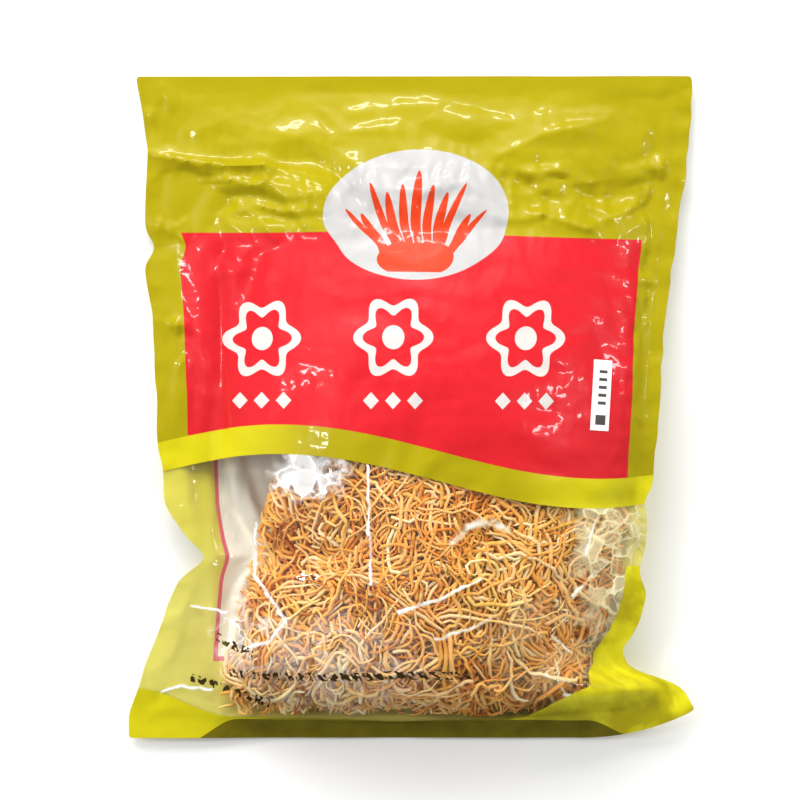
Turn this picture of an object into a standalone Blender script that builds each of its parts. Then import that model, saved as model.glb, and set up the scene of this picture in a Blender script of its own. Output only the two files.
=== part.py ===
"""A sealed film bag, filled with dried cordyceps strands, lying on its back.

+Y runs from the bag's bottom seal to its top edge, +X across it to the right as its printed front is read, and
+Z out of that front. The origin is on the surface it lies on, under the middle of the bag. Sizes are in metres.

The bag is two webs of film, welded together along their four edges. The filling has slumped towards the bottom
and the right, so the lower part is a deep cushion, the left side is a flat flap, and the top is empty film. The
seams draw in where the film buckles round the filling.
"""

import bmesh
import bpy
import numpy as np

# Driving dimensions.
BAG_LENGTH = 0.286  # from the bottom seal to the top edge, as it lies
SEAL_WIDTH = 0.009  # the welded band along each edge
FILM_THICKNESS = 0.00015  # laminated film
SEAL_GAP = 0.0003  # between the two webs in the welded band
CROWN_HEIGHT = 0.054  # the deepest part of the filled bag
SIDE_SEAM_HEIGHT = 0.020  # the right seam's height beside the filling
FLAP_SHARE = 0.55  # the left seam's height beside the filling, as a share of the right one's
TUCK_SHARE = 0.72  # how far the bottom seal is bent down to the surface, between its corners
TUCK_STARTS = (-0.80, 0.88)  # where along the bottom seal it is bent, in shares of the half width
FILLING_CLEARANCE = 0.0012  # from the packed strands to the film
TOP = BAG_LENGTH / 2
BOTTOM = -BAG_LENGTH / 2

# The side seams, as (place along the bag, place across it), from the bottom corner up to the top corner.
LEFT_SEAM = (
    (-0.1430, -0.1215),
    (-0.1330, -0.1220),
    (-0.1260, -0.1196),
    (-0.1220, -0.1176),
    (-0.0900, -0.1072),
    (-0.0740, -0.1000),
    (-0.0650, -0.0865),
    (-0.0560, -0.0965),
    (-0.0420, -0.1060),
    (-0.0100, -0.1094),
    (0.0325, -0.1116),
    (0.0620, -0.1145),
    (0.0690, -0.1100),
    (0.0760, -0.1156),
    (0.0900, -0.1156),
    (0.1100, -0.1138),
    (0.1350, -0.1172),
    (0.1430, -0.1192),
)
RIGHT_SEAM = (
    (-0.1300, 0.1222),
    (-0.1235, 0.1186),
    (-0.1180, 0.1132),
    (-0.1152, 0.1030),
    (-0.1120, 0.0930),
    (-0.1040, 0.0903),
    (-0.0930, 0.0972),
    (-0.0800, 0.1005),
    (-0.0720, 0.0975),
    (-0.0620, 0.1000),
    (-0.0460, 0.1008),
    (-0.0410, 0.0985),
    (-0.0350, 0.1032),
    (0.0300, 0.1080),
    (0.0850, 0.1160),
    (0.1000, 0.1190),
    (0.1420, 0.1220),
)
SEAM_ROUNDING = 0.0025  # how far a seam's corners are rounded off, along the bag

# The bottom right corner is lifted up the bag, by CORNER_LIFT at the corner itself.
CORNER_LIFT = 0.013
CORNER_STARTS = 0.60  # the share of the half width where the bottom seam begins to rise
CORNER_FADES = 0.20  # the share of the length over which the lift fades out

# Heights above the surface, as (place along the bag, height), from the bottom up.
SEAM_HEIGHTS = ((-0.143, 0.35), (-0.120, 0.70), (-0.065, 1.0), (0.000, 0.95), (0.055, 0.50), (0.143, 0.18))
CROWN_HEIGHTS = (
    (-0.1430, 0.14),
    (-0.1350, 0.28),
    (-0.1290, 0.60),
    (-0.1200, 0.82),
    (-0.1080, 0.92),
    (-0.0800, 0.98),
    (-0.0450, 1.00),
    (-0.0100, 0.95),
    (0.0200, 0.82),
    (0.0500, 0.60),
    (0.0800, 0.36),
    (0.1100, 0.18),
    (0.1430, 0.07),
)
HEIGHT_ROUNDING = 0.012  # how far the lengthwise heights are smoothed

# Across the bag the cushion runs from the edge of the flat flap, at the left, to the right seal.
CUSHION_LEFT = -0.72
CUSHION_RIGHT = 0.93
DOME_FULLNESS = 2.3
DOME_STEEPNESS = 0.78
RESTING_SHARE = 0.80  # the share of the cushion's width that lies on the surface
BOTTOM_LIFTS = 0.018  # the length over which the back rises from the surface to the bottom seam

# The packed filling, in shares of the cushion's width and of the bag's length.
FILLING_SIDE = 0.93
FILLING_STARTS = 0.050
FILLING_ENDS = 0.620
FILLING_ROUNDING = 0.35  # the rim's thickness, as a share of the space there

FILM_COLUMNS = 26
FILM_ROWS = 36
FILLING_COLUMNS = 18
FILLING_ROWS = 16

# The date sticker on the front.
STICKER_SIZE = (0.0080, 0.0300)
STICKER_PLACE = (0.0805, 0.0050)
STICKER_TURN = np.radians(-4.0)
STICKER_THICKNESS = 0.0001
STICKER_CELLS = (2, 6)


def read_smooth(points, at, rounding):
    """The value at a place, read from straight runs between points whose corners are rounded off."""
    places, values = np.array(points).T
    near = at + np.linspace(-rounding, rounding, 7)
    return float(np.interp(near, places, values).mean())


def seam_across(points, along):
    return read_smooth(points, along, SEAM_ROUNDING)


def seam_height(along):
    return SIDE_SEAM_HEIGHT * read_smooth(SEAM_HEIGHTS, along, HEIGHT_ROUNDING)


def crown_height(along):
    return CROWN_HEIGHT * read_smooth(CROWN_HEIGHTS, along, HEIGHT_ROUNDING / 2)


def blend(share):
    """A smooth step from 0 to 1."""
    share = min(max(share, 0.0), 1.0)
    return share * share * (3 - 2 * share)


def share_across(x, y):
    """Where x lies between the seams, from -1 at the left one to 1 at the right one."""
    left, right = seam_across(LEFT_SEAM, y), seam_across(RIGHT_SEAM, y)
    return (2 * x - left - right) / (right - left)


def cushion_share(across):
    """Where a point lies on the cushion, from -1 at the flap to 1 at the right seal, and beyond."""
    middle, half = (CUSHION_LEFT + CUSHION_RIGHT) / 2, (CUSHION_RIGHT - CUSHION_LEFT) / 2
    return (across - middle) / half


def welded_height(across, y):
    """The height of the surface on which the webs meet. It is lower at the left, where the flap is flat."""
    left_share = FLAP_SHARE + (1 - FLAP_SHARE) * blend((across + 1) / 2)
    bent = blend((BOTTOM + SEAL_WIDTH - y) / SEAL_WIDTH)
    bent = bent * blend((across - TUCK_STARTS[0]) / 0.35) * blend((TUCK_STARTS[1] - across) / 0.35)
    return seam_height(y) * left_share * (1 - TUCK_SHARE * bent)


def off_seals(across, along_share):
    """0 in the welded bands at the ends of the bag, rising to 1 just inside them."""
    band = SEAL_WIDTH / BAG_LENGTH
    return blend((along_share - band) / (1.3 * band)) * blend((1 - band - along_share) / (2 * band))


def front_height(across, y, along_share):
    """The middle of the front web: the weld's height, and the cushion's dome on top."""
    weld = welded_height(across, y)
    dome = max(0.0, 1 - abs(cushion_share(across)) ** DOME_FULLNESS) ** DOME_STEEPNESS
    rise = max(0.0, crown_height(y) - weld) * dome * off_seals(across, along_share)
    return weld + (SEAL_GAP + FILM_THICKNESS) / 2 + rise


def back_height(across, y, along_share):
    """The middle of the back web: flat on the surface under the cushion, rising to the weld round it."""
    weld = welded_height(across, y) - (SEAL_GAP + FILM_THICKNESS) / 2
    rest = FILM_THICKNESS / 2
    side = blend((abs(cushion_share(across)) - RESTING_SHARE) / (1 - RESTING_SHARE))
    bottom = blend((BOTTOM + SEAL_WIDTH + BOTTOM_LIFTS - y) / BOTTOM_LIFTS)
    top = blend((along_share - 0.80) / 0.17)
    return rest + (weld - rest) * max(side, bottom, top)


def place_along(across, along_share):
    """The place along the bag of a point on a row, with the bottom right corner lifted."""
    reach = max(0.0, across - CORNER_STARTS) / (1 - CORNER_STARTS)
    fade = max(0.0, 1 - along_share / CORNER_FADES)
    return BOTTOM + BAG_LENGTH * along_share + CORNER_LIFT * reach**2 * fade


def seal_first(count):
    """Shares from -1 to 1: a row at each seal's inner edge, and even rows between them."""
    inner = 1 - 2 * SEAL_WIDTH / 0.22
    return np.concatenate([[-1.0], np.linspace(-inner, inner, count - 1), [1.0]])


def film_point(height, across, along_share):
    y = place_along(across, along_share)
    left, right = seam_across(LEFT_SEAM, y), seam_across(RIGHT_SEAM, y)
    x = (left + right) / 2 + across * (right - left) / 2
    return x, y, height(across, y, along_share)


def finish_object(name, mesh, material):
    mesh.shade_smooth()
    mesh.set_sharp_from_angle(angle=np.radians(40))
    mesh.materials.append(material)
    made = bpy.data.objects.new(name, mesh)
    bpy.context.scene.collection.objects.link(made)
    return made


def sheet_mesh(name, points, faces_up):
    """A sheet of square cells from rows of points."""
    shape = bmesh.new()
    rows = [[shape.verts.new(point) for point in row] for row in points]
    for low, high in zip(rows, rows[1:]):
        for i in range(len(low) - 1):
            corners = [low[i], low[i + 1], high[i + 1], high[i]]
            shape.faces.new(corners if faces_up else corners[::-1])
    mesh = bpy.data.meshes.new(name)
    shape.to_mesh(mesh)
    shape.free()
    return mesh


def thicken(made, thickness):
    solid = made.modifiers.new("Thickness", "SOLIDIFY")
    solid.thickness = thickness
    solid.offset = 0.0


def plain_material(name, colour, roughness):
    material = bpy.data.materials.new(name)
    material.use_nodes = True
    shader = material.node_tree.nodes["Principled BSDF"]
    shader.inputs["Base Color"].default_value = (*colour, 1.0)
    shader.inputs["Roughness"].default_value = roughness
    shader.inputs["Metallic"].default_value = 0.0
    return material


def add_web(name, height, faces_up, material):
    """One web of the bag: its middle surface, given the film's thickness."""
    shares_along = (seal_first(FILM_ROWS) + 1) / 2
    points = [[film_point(height, u, v) for u in seal_first(FILM_COLUMNS)] for v in shares_along]
    web = finish_object(name, sheet_mesh(name, points, faces_up), material)
    thicken(web, FILM_THICKNESS)


def filling_edge(column, row):
    """1 in the middle of the packed filling, falling to FILLING_ROUNDING at its rim."""
    side = 1 - abs(2 * column / FILLING_COLUMNS - 1) ** 4
    end = 1 - abs(2 * row / FILLING_ROWS - 1) ** 4
    return FILLING_ROUNDING + (1 - FILLING_ROUNDING) * (side * end) ** 0.5


def rim_of(rows):
    """The corners round the outside of a layer, anticlockwise from above."""
    right = [row[-1] for row in rows[1:-1]]
    left = [row[0] for row in rows[1:-1]]
    return rows[0] + right + rows[-1][::-1] + left[::-1]


def add_filling(material):
    """The packed strands as one cushion, between the webs and clear of both."""
    shape = bmesh.new()
    layers = {-1: [], 1: []}
    middle, half = (CUSHION_LEFT + CUSHION_RIGHT) / 2, (CUSHION_RIGHT - CUSHION_LEFT) / 2
    for row in range(FILLING_ROWS + 1):
        along_share = FILLING_STARTS + (FILLING_ENDS - FILLING_STARTS) * row / FILLING_ROWS
        for layer in layers.values():
            layer.append([])
        for column in range(FILLING_COLUMNS + 1):
            across = middle + half * FILLING_SIDE * (2 * column / FILLING_COLUMNS - 1)
            x, y, high = film_point(front_height, across, along_share)
            high = high - FILLING_CLEARANCE
            low = back_height(across, y, along_share) + FILLING_CLEARANCE
            centre, reach = (high + low) / 2, (high - low) / 2 * filling_edge(column, row)
            for side, layer in layers.items():
                layer[row].append(shape.verts.new((x, y, centre + side * reach)))
    for side, layer in layers.items():
        for low_row, high_row in zip(layer, layer[1:]):
            for i in range(FILLING_COLUMNS):
                corners = [low_row[i], low_row[i + 1], high_row[i + 1], high_row[i]]
                shape.faces.new(corners if side > 0 else corners[::-1])
    low_rim, high_rim = rim_of(layers[-1]), rim_of(layers[1])
    for i in range(len(low_rim)):
        shape.faces.new((low_rim[i - 1], low_rim[i], high_rim[i], high_rim[i - 1]))
    mesh = bpy.data.meshes.new("cordyceps_strands")
    shape.to_mesh(mesh)
    shape.free()
    finish_object("cordyceps_strands", mesh, material)


def add_sticker(material):
    """A strip of white label, laid on the front web and following it."""
    lift = FILM_THICKNESS / 2 + SEAL_GAP + STICKER_THICKNESS / 2
    turn = np.array([[np.cos(STICKER_TURN), -np.sin(STICKER_TURN)], [np.sin(STICKER_TURN), np.cos(STICKER_TURN)]])
    points = []
    for b in np.linspace(-0.5, 0.5, STICKER_CELLS[1] + 1):
        points.append([])
        for a in np.linspace(-0.5, 0.5, STICKER_CELLS[0] + 1):
            x, y = turn @ (a * STICKER_SIZE[0], b * STICKER_SIZE[1]) + STICKER_PLACE
            height = front_height(share_across(x, y), y, (y - BOTTOM) / BAG_LENGTH)
            points[-1].append((x, y, height + lift))
    sticker = finish_object("date_sticker", sheet_mesh("date_sticker", points, True), material)
    thicken(sticker, STICKER_THICKNESS)


def main():
    for old in list(bpy.data.objects):
        bpy.data.objects.remove(old)
    yellow_film = plain_material("Printed film, yellow", (0.63, 0.53, 0.01), 0.20)
    back_print = plain_material("Printed film, back", (0.66, 0.56, 0.03), 0.25)
    dried_fungus = plain_material("Dried fungus", (0.62, 0.32, 0.10), 0.60)
    white_label = plain_material("Coated label paper", (0.85, 0.84, 0.82), 0.45)
    add_web("front_film", front_height, True, yellow_film)
    add_web("back_film", back_height, False, back_print)
    add_filling(dried_fungus)
    add_sticker(white_label)


main()
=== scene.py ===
"""The looks of a sealed film bag of dried cordyceps strands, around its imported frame.

The bag lies on its back. +Y runs from its bottom seal to its top edge, +X across it to the right as its front
is read, and +Z out of that front. Sizes are in metres unless a name or a comment says otherwise.
"""

import math

import bpy
import numpy as np
from bpy.props import FloatProperty, FloatVectorProperty, IntProperty, PointerProperty, StringProperty
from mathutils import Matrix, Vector
from mathutils.bvhtree import BVHTree


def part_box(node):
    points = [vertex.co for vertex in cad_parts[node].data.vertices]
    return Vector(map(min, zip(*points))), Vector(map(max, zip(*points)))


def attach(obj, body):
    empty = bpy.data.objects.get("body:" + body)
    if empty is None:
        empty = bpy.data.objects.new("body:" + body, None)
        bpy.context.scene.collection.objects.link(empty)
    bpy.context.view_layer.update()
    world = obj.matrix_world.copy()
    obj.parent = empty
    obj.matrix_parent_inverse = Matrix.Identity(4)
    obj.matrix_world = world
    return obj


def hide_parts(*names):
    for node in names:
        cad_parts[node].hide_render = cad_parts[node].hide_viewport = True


bl_info = {
    "name": "Bag of dried cordyceps",
    "version": (1, 0, 0),
    "blender": (4, 5, 0),
    "location": "3D View > Sidebar > Bag",
    "description": "Builds a printed film bag and the dried strands in it, around its packed frame",
    "category": "Object",
}

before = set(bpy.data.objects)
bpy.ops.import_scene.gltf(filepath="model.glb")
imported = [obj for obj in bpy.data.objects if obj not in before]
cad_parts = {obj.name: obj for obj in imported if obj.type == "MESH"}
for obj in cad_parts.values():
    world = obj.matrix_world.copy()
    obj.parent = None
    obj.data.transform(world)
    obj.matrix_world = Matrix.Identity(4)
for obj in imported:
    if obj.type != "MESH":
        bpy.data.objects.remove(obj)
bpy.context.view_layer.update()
FILM_LOW, FILM_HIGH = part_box("front_film")
STICKER_LOW, STICKER_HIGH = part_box("date_sticker")

MM = 0.001
LENGTH = FILM_HIGH.y - FILM_LOW.y
BOTTOM = FILM_LOW.y
CROWN = FILM_HIGH.z
SEAL = 9 * MM
CUT_WIDTH = 240 * MM

# The seams, as in the frame: (place along the bag, place across it), from the bottom corner to the top corner.
LEFT_SEAM = (
    (-0.1430, -0.1215),
    (-0.1330, -0.1220),
    (-0.1260, -0.1196),
    (-0.1220, -0.1176),
    (-0.0900, -0.1072),
    (-0.0740, -0.1000),
    (-0.0650, -0.0865),
    (-0.0560, -0.0965),
    (-0.0420, -0.1060),
    (-0.0100, -0.1094),
    (0.0325, -0.1116),
    (0.0620, -0.1145),
    (0.0690, -0.1100),
    (0.0760, -0.1156),
    (0.0900, -0.1156),
    (0.1100, -0.1138),
    (0.1350, -0.1172),
    (0.1430, -0.1192),
)
RIGHT_SEAM = (
    (-0.1300, 0.1222),
    (-0.1235, 0.1186),
    (-0.1180, 0.1132),
    (-0.1152, 0.1030),
    (-0.1120, 0.0930),
    (-0.1040, 0.0903),
    (-0.0930, 0.0972),
    (-0.0800, 0.1005),
    (-0.0720, 0.0975),
    (-0.0620, 0.1000),
    (-0.0460, 0.1008),
    (-0.0410, 0.0985),
    (-0.0350, 0.1032),
    (0.0300, 0.1080),
    (0.0850, 0.1160),
    (0.1000, 0.1190),
    (0.1420, 0.1220),
)
SEAM_ROUNDING = 2.5 * MM
CORNER_LIFT, CORNER_STARTS, CORNER_FADES = 13 * MM, 0.60, 0.20
SEAM_HEIGHTS = ((-0.143, 7.0), (-0.120, 14.0), (-0.065, 20.0), (0.000, 19.0), (0.055, 10.0), (0.143, 3.6))
CROWN_SHARES = (
    (-0.1430, 0.14),
    (-0.1350, 0.28),
    (-0.1290, 0.60),
    (-0.1200, 0.82),
    (-0.1080, 0.92),
    (-0.0800, 0.98),
    (-0.0450, 1.00),
    (-0.0100, 0.95),
    (0.0200, 0.82),
    (0.0500, 0.60),
    (0.0800, 0.36),
    (0.1100, 0.18),
    (0.1430, 0.07),
)
FLAP_SHARE = 0.55
TUCK_SHARE, TUCK_STARTS, TUCK_FADES = 0.72, (-0.80, 0.88), 0.35
CUSHION_LEFT, CUSHION_RIGHT = -0.72, 0.93
DOME_FULLNESS, DOME_STEEPNESS = 2.3, 0.78
RESTING_SHARE = 0.80
BOTTOM_LIFTS = 18 * MM
TOP_LIFTS_FROM, TOP_LIFTS_OVER = 0.80, 0.17


# Shapes of the smooth, unwrinkled bag.


def rounded(points, at, rounding):
    """Values read from straight runs between points whose corners are rounded off."""
    places, values = np.array(points).T
    near = np.asarray(at)[..., None] + np.linspace(-rounding, rounding, 7)
    return np.interp(near, places, values).mean(axis=-1)


def blend(share):
    """A smooth step from 0 to 1."""
    share = np.clip(share, 0.0, 1.0)
    return share * share * (3 - 2 * share)


def value_noise(x, y, step, seed):
    """Smooth random values from about -1 to 1 over a plane, with features of one step's size."""
    lattice = np.random.default_rng(seed).uniform(-1, 1, (64, 64))
    column, row = np.asarray(x) / step + 31.3, np.asarray(y) / step + 31.7
    i, j = np.floor(column).astype(int), np.floor(row).astype(int)
    a, b = blend(column - i), blend(row - j)
    low = lattice[j % 64, i % 64] * (1 - a) + lattice[j % 64, (i + 1) % 64] * a
    high = lattice[(j + 1) % 64, i % 64] * (1 - a) + lattice[(j + 1) % 64, (i + 1) % 64] * a
    return low * (1 - b) + high * b


def facets(x, y, step, seed):
    """Random heights from -1 to 1 over a plane, in flat three-cornered facets that meet at creases."""
    lattice = np.random.default_rng(seed).uniform(-1, 1, (64, 64))
    x = x + 0.45 * step * value_noise(x, y, 1.7 * step, seed + 100)
    y = y + 0.45 * step * value_noise(x, y, 1.7 * step, seed + 200)
    column, row = (x + y * 0.577) / step + 31.3, y * 1.155 / step + 31.7
    i, j = np.floor(column).astype(int), np.floor(row).astype(int)
    a, b = column - i, row - j
    corners = [lattice[(j + down) % 64, (i + over) % 64] for down, over in ((0, 0), (0, 1), (1, 0), (1, 1))]
    near = corners[0] + a * (corners[1] - corners[0]) + b * (corners[2] - corners[0])
    far = corners[3] + (1 - a) * (corners[2] - corners[3]) + (1 - b) * (corners[1] - corners[3])
    return np.where(a + b < 1, near, far)


def seam_ends(y):
    return rounded(LEFT_SEAM, y, SEAM_ROUNDING), rounded(RIGHT_SEAM, y, SEAM_ROUNDING)


def place_along(across, along):
    reach = np.maximum(0.0, across - CORNER_STARTS) / (1 - CORNER_STARTS)
    fade = np.maximum(0.0, 1 - along / CORNER_FADES)
    return BOTTOM + LENGTH * along + CORNER_LIFT * reach**2 * fade


def plan_point(across, along):
    """A point of a web, seen from above: across from -1 to 1 between the seams, and along from 0 to 1."""
    y = place_along(across, along)
    left, right = seam_ends(y)
    return (left + right) / 2 + across * (right - left) / 2, y


def share_across(x, y):
    left, right = seam_ends(y)
    return (2 * x - left - right) / (right - left)


def weld_height(across, y):
    height = MM * rounded(SEAM_HEIGHTS, y, 12 * MM)
    bent = blend((BOTTOM + SEAL - y) / SEAL)
    bent = bent * blend((across - TUCK_STARTS[0]) / TUCK_FADES) * blend((TUCK_STARTS[1] - across) / TUCK_FADES)
    return height * (FLAP_SHARE + (1 - FLAP_SHARE) * blend((across + 1) / 2)) * (1 - TUCK_SHARE * bent)


def cushion_share(across):
    middle, half = (CUSHION_LEFT + CUSHION_RIGHT) / 2, (CUSHION_RIGHT - CUSHION_LEFT) / 2
    return (across - middle) / half


def front_height(across, y, along):
    band = SEAL / LENGTH
    open_ends = blend((along - band) / (1.3 * band)) * blend((1 - band - along) / (2 * band))
    weld = weld_height(across, y)
    dome = np.maximum(0.0, 1 - np.abs(cushion_share(across)) ** DOME_FULLNESS) ** DOME_STEEPNESS
    crown = CROWN * rounded(CROWN_SHARES, y, 6 * MM)
    return weld + np.maximum(0.0, crown - weld) * dome * open_ends


def back_height(across, y, along):
    side = blend((np.abs(cushion_share(across)) - RESTING_SHARE) / (1 - RESTING_SHARE))
    bottom = blend((BOTTOM + SEAL + BOTTOM_LIFTS - y) / BOTTOM_LIFTS)
    top = blend((along - TOP_LIFTS_FROM) / TOP_LIFTS_OVER)
    return weld_height(across, y) * np.maximum(np.maximum(side, bottom), top)


# The heap of strands: where it lies and how high it stands, between the two webs.

HEAP_LEFT = ((-0.125, -0.086), (-0.070, -0.070), (-0.030, -0.061), (0.010, -0.050))
HEAP_TOP = (
    (-0.064, -0.026),
    (-0.054, -0.026),
    (-0.047, -0.033),
    (-0.037, -0.033),
    (-0.031, -0.006),
    (0.020, 0.026),
    (0.090, 0.034),
)
HEAP_BOTTOM = -0.1325
HEAP_RIGHT = ((-0.128, 0.081), (-0.100, 0.0855), (-0.060, 0.0925), (-0.030, 0.0935))
HEAP_RIM = 9 * MM
RIGHT_MARGIN = 8.5 * MM
FILM_CLEARANCE = 1.0 * MM


def heap_depth_inside(x, y):
    """How far a point lies inside the heap's outline, seen from above. It is negative outside."""
    left = x - rounded(HEAP_LEFT, y, 10 * MM)
    top = rounded(HEAP_TOP, x, 4 * MM) - y
    right = np.minimum(seam_ends(y)[1] - RIGHT_MARGIN, rounded(HEAP_RIGHT, y, 8 * MM)) - x
    bottom = y - HEAP_BOTTOM - 2 * CORNER_LIFT * np.maximum(0.0, share_across(x, y) - CORNER_STARTS)
    return np.minimum(np.minimum(left, top), np.minimum(right, bottom))


def heap_heights(x, y):
    """The lowest and highest place for strands over a point."""
    across, along = share_across(x, y), (y - BOTTOM) / LENGTH
    low = back_height(across, y, along) + FILM_CLEARANCE
    lumps = 0.9 * value_noise(x, y, 14 * MM, 3) + 0.6 * value_noise(x, y, 7 * MM, 4) - 1.5
    high = front_height(across, y, along) - FILM_CLEARANCE + lumps * MM
    inside = np.clip(heap_depth_inside(x, y) / HEAP_RIM, 0, 1)
    rim = np.sqrt(1 - (1 - inside) ** 2)
    return low, low + np.maximum(high - low, 0.5 * MM) * rim


ROOM_X = np.linspace(-0.095, 0.112, 139)
ROOM_Y = np.linspace(-0.142, 0.042, 124)
FINGER = 0.6 * MM  # how far the strands stay from the settled film


def room_between_webs():
    """The settled back and front film's heights over a lattice, as the space that the strands have."""
    down = Vector((0, 0, -1))
    rooms = []
    for name in ("back_web", "front_web"):
        tree = BVHTree.FromObject(bpy.data.objects[name], bpy.context.evaluated_depsgraph_get())
        heights = np.zeros((len(ROOM_Y), len(ROOM_X)))
        for j, y in enumerate(ROOM_Y):
            for i, x in enumerate(ROOM_X):
                hit = tree.ray_cast(Vector((x, y, 2 * CROWN)), down)[0]
                heights[j, i] = hit.z if hit else 0.0
        rooms.append(heights)
    back, front = rooms
    return back + FINGER, front - FINGER


def read_lattice(heights, x, y):
    column = np.clip((x - ROOM_X[0]) / (ROOM_X[1] - ROOM_X[0]), 0, len(ROOM_X) - 1.001)
    row = np.clip((y - ROOM_Y[0]) / (ROOM_Y[1] - ROOM_Y[0]), 0, len(ROOM_Y) - 1.001)
    i, j = column.astype(int), row.astype(int)
    a, b = column - i, row - j
    low = heights[j, i] * (1 - a) + heights[j, i + 1] * a
    return low * (1 - b) + (heights[j + 1, i] * (1 - a) + heights[j + 1, i + 1] * a) * b


# Small shared tools.


def linear(hex_colour, alpha=1.0):
    """An sRGB hex colour as a linear RGBA colour."""
    channels = [int(hex_colour[i : i + 2], 16) / 255 for i in (1, 3, 5)]
    return (*(c / 12.92 if c <= 0.04045 else ((c + 0.055) / 1.055) ** 2.4 for c in channels), alpha)


def new_material(name):
    material = bpy.data.materials.new(name)
    material.use_nodes = True
    material.node_tree.nodes.clear()
    return material, material.node_tree


def add(tree, kind, inputs=None, **settings):
    """Adds a node with its settings. An input is a value, or another node's output to link."""
    made = tree.nodes.new(kind)
    for name, value in settings.items():
        setattr(made, name, value)
    for socket, value in (inputs or {}).items():
        if isinstance(value, bpy.types.NodeSocket):
            tree.links.new(value, made.inputs[socket])
        else:
            made.inputs[socket].default_value = value
    return made.outputs[0] if made.outputs else made


def vertices_of(piece):
    flat = np.empty(len(piece.data.vertices) * 3, np.float32)
    piece.data.vertices.foreach_get("co", flat)
    return flat.reshape(-1, 3).astype(float)


def place_vertices(piece, points):
    piece.data.vertices.foreach_set("co", np.asarray(points, np.float32).ravel())
    piece.data.update()


def new_grid(name, columns, rows):
    """A flat grid from -1 to 1 each way, selected and active."""
    bpy.ops.object.select_all(action="DESELECT")
    bpy.ops.mesh.primitive_grid_add(x_subdivisions=columns, y_subdivisions=rows, size=2)
    piece = bpy.context.object
    piece.name = piece.data.name = name
    return piece


def apply_modifiers(piece):
    bpy.ops.object.select_all(action="DESELECT")
    piece.select_set(True)
    bpy.context.view_layer.objects.active = piece
    for modifier in list(piece.modifiers):
        bpy.ops.object.modifier_apply(modifier=modifier.name)


def finish_piece(piece, material, slot, *nodes, sharp_from=60):
    """Smooths a piece, gives it its material, and ties it to the frame."""
    bpy.ops.object.select_all(action="DESELECT")
    piece.select_set(True)
    bpy.context.view_layer.objects.active = piece
    bpy.ops.object.shade_smooth_by_angle(angle=math.radians(sharp_from))
    piece.data.materials.clear()
    piece.data.materials.append(material)
    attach(piece, "root")
    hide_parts(*nodes)


# The two webs of film.

SIM_SCALE = 10.0
FILM_REACH = 0.15 * MM  # how near the film comes to what it lies on
SIM_FRAMES = 30
COLUMNS, ROWS = 100, 120
CROWN_COLUMN = 55  # near the bag's thickest part, where the settled length is measured


def web_grid():
    """Across and along shares for each vertex of a web, in a grid's own order."""
    across, along = np.meshgrid(np.linspace(-1, 1, COLUMNS + 1), np.linspace(0, 1, ROWS + 1))
    return across.ravel(), along.ravel()


def cut_places(points, width, slack):
    """Where each vertex lies on the flat sheet before the bag is filled."""
    rows = points.reshape(ROWS + 1, COLUMNS + 1, 3)
    middle = rows[:, CROWN_COLUMN]
    steps = np.linalg.norm(np.diff(middle, axis=0), axis=1)
    along = np.concatenate([[0.0], np.cumsum(steps)]) * slack
    across, _ = web_grid()
    return np.stack([across * width / 2, np.repeat(along - along[-1] / 2, COLUMNS + 1)], axis=1)


def let_film_settle(name, points, cut, free, obstacles, gravity, pressure, friction=5.0):
    """Runs film as cloth from a smooth start. Its seams are held, and it has the size that it was cut to."""
    web = new_grid(name, COLUMNS, ROWS)
    place_vertices(web, points * SIM_SCALE)
    web.shape_key_add(name="start")
    flat = web.shape_key_add(name="cut")
    flat.data.foreach_set("co", np.pad(cut * SIM_SCALE, ((0, 0), (0, 1))).astype(np.float32).ravel())
    held = web.vertex_groups.new(name="held")
    held.add([int(i) for i in np.nonzero(~free)[0]], 1.0, "REPLACE")
    cloth = web.modifiers.new("Film", "CLOTH")
    cloth.settings.quality = 6
    cloth.settings.mass = 0.3
    cloth.settings.tension_stiffness = cloth.settings.compression_stiffness = 40
    cloth.settings.shear_stiffness = 20
    cloth.settings.bending_stiffness = 0.8
    cloth.settings.tension_damping = cloth.settings.compression_damping = 10
    cloth.settings.shear_damping = 10
    cloth.settings.air_damping = 2
    cloth.settings.vertex_group_mass = held.name
    cloth.settings.rest_shape_key = flat
    cloth.settings.use_pressure = pressure != 0
    cloth.settings.uniform_pressure_force = pressure
    cloth.collision_settings.distance_min = FILM_REACH * SIM_SCALE
    cloth.collision_settings.collision_quality = 3
    cloth.point_cache.frame_start, cloth.point_cache.frame_end = 1, SIM_FRAMES
    bpy.context.scene.gravity = (0, 0, gravity)
    for obstacle in obstacles:
        obstacle.modifiers.new("Obstacle", "COLLISION")
        obstacle.collision.thickness_outer = FILM_REACH * SIM_SCALE
        obstacle.collision.cloth_friction = friction
    for frame_number in range(1, SIM_FRAMES + 1):
        bpy.context.scene.frame_set(frame_number)
    settled = web.evaluated_get(bpy.context.evaluated_depsgraph_get())
    points = vertices_of(settled) / SIM_SCALE
    web.modifiers.clear()
    web.shape_key_clear()
    web.vertex_groups.clear()
    place_vertices(web, points)
    return web


def heap_form(side):
    """The heap's upper or lower surface, at the simulation's scale, for the film to settle on."""
    columns, rows = 70, 60
    ends = (-0.090, 0.108) if side == "top" else (0.108, -0.090)  # so that each surface faces its web
    x, y = np.meshgrid(np.linspace(*ends, columns + 1), np.linspace(-0.136, 0.037, rows + 1))
    x, y = x.ravel(), y.ravel()
    low, high = heap_heights(x, y)
    inside = heap_depth_inside(x, y) > -1 * MM
    z = np.where(inside, high, -5 * MM) if side == "top" else low
    form = new_grid("heap_" + side, columns, rows)
    place_vertices(form, np.stack([x, y, z], axis=1) * SIM_SCALE)
    return form


SHARED_CREASES = 0.35  # how much of the creases' depth is left on the welded bands
DEEPEST_VALLEY = 0.6  # how far down to the back web a crease of the front may reach

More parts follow.
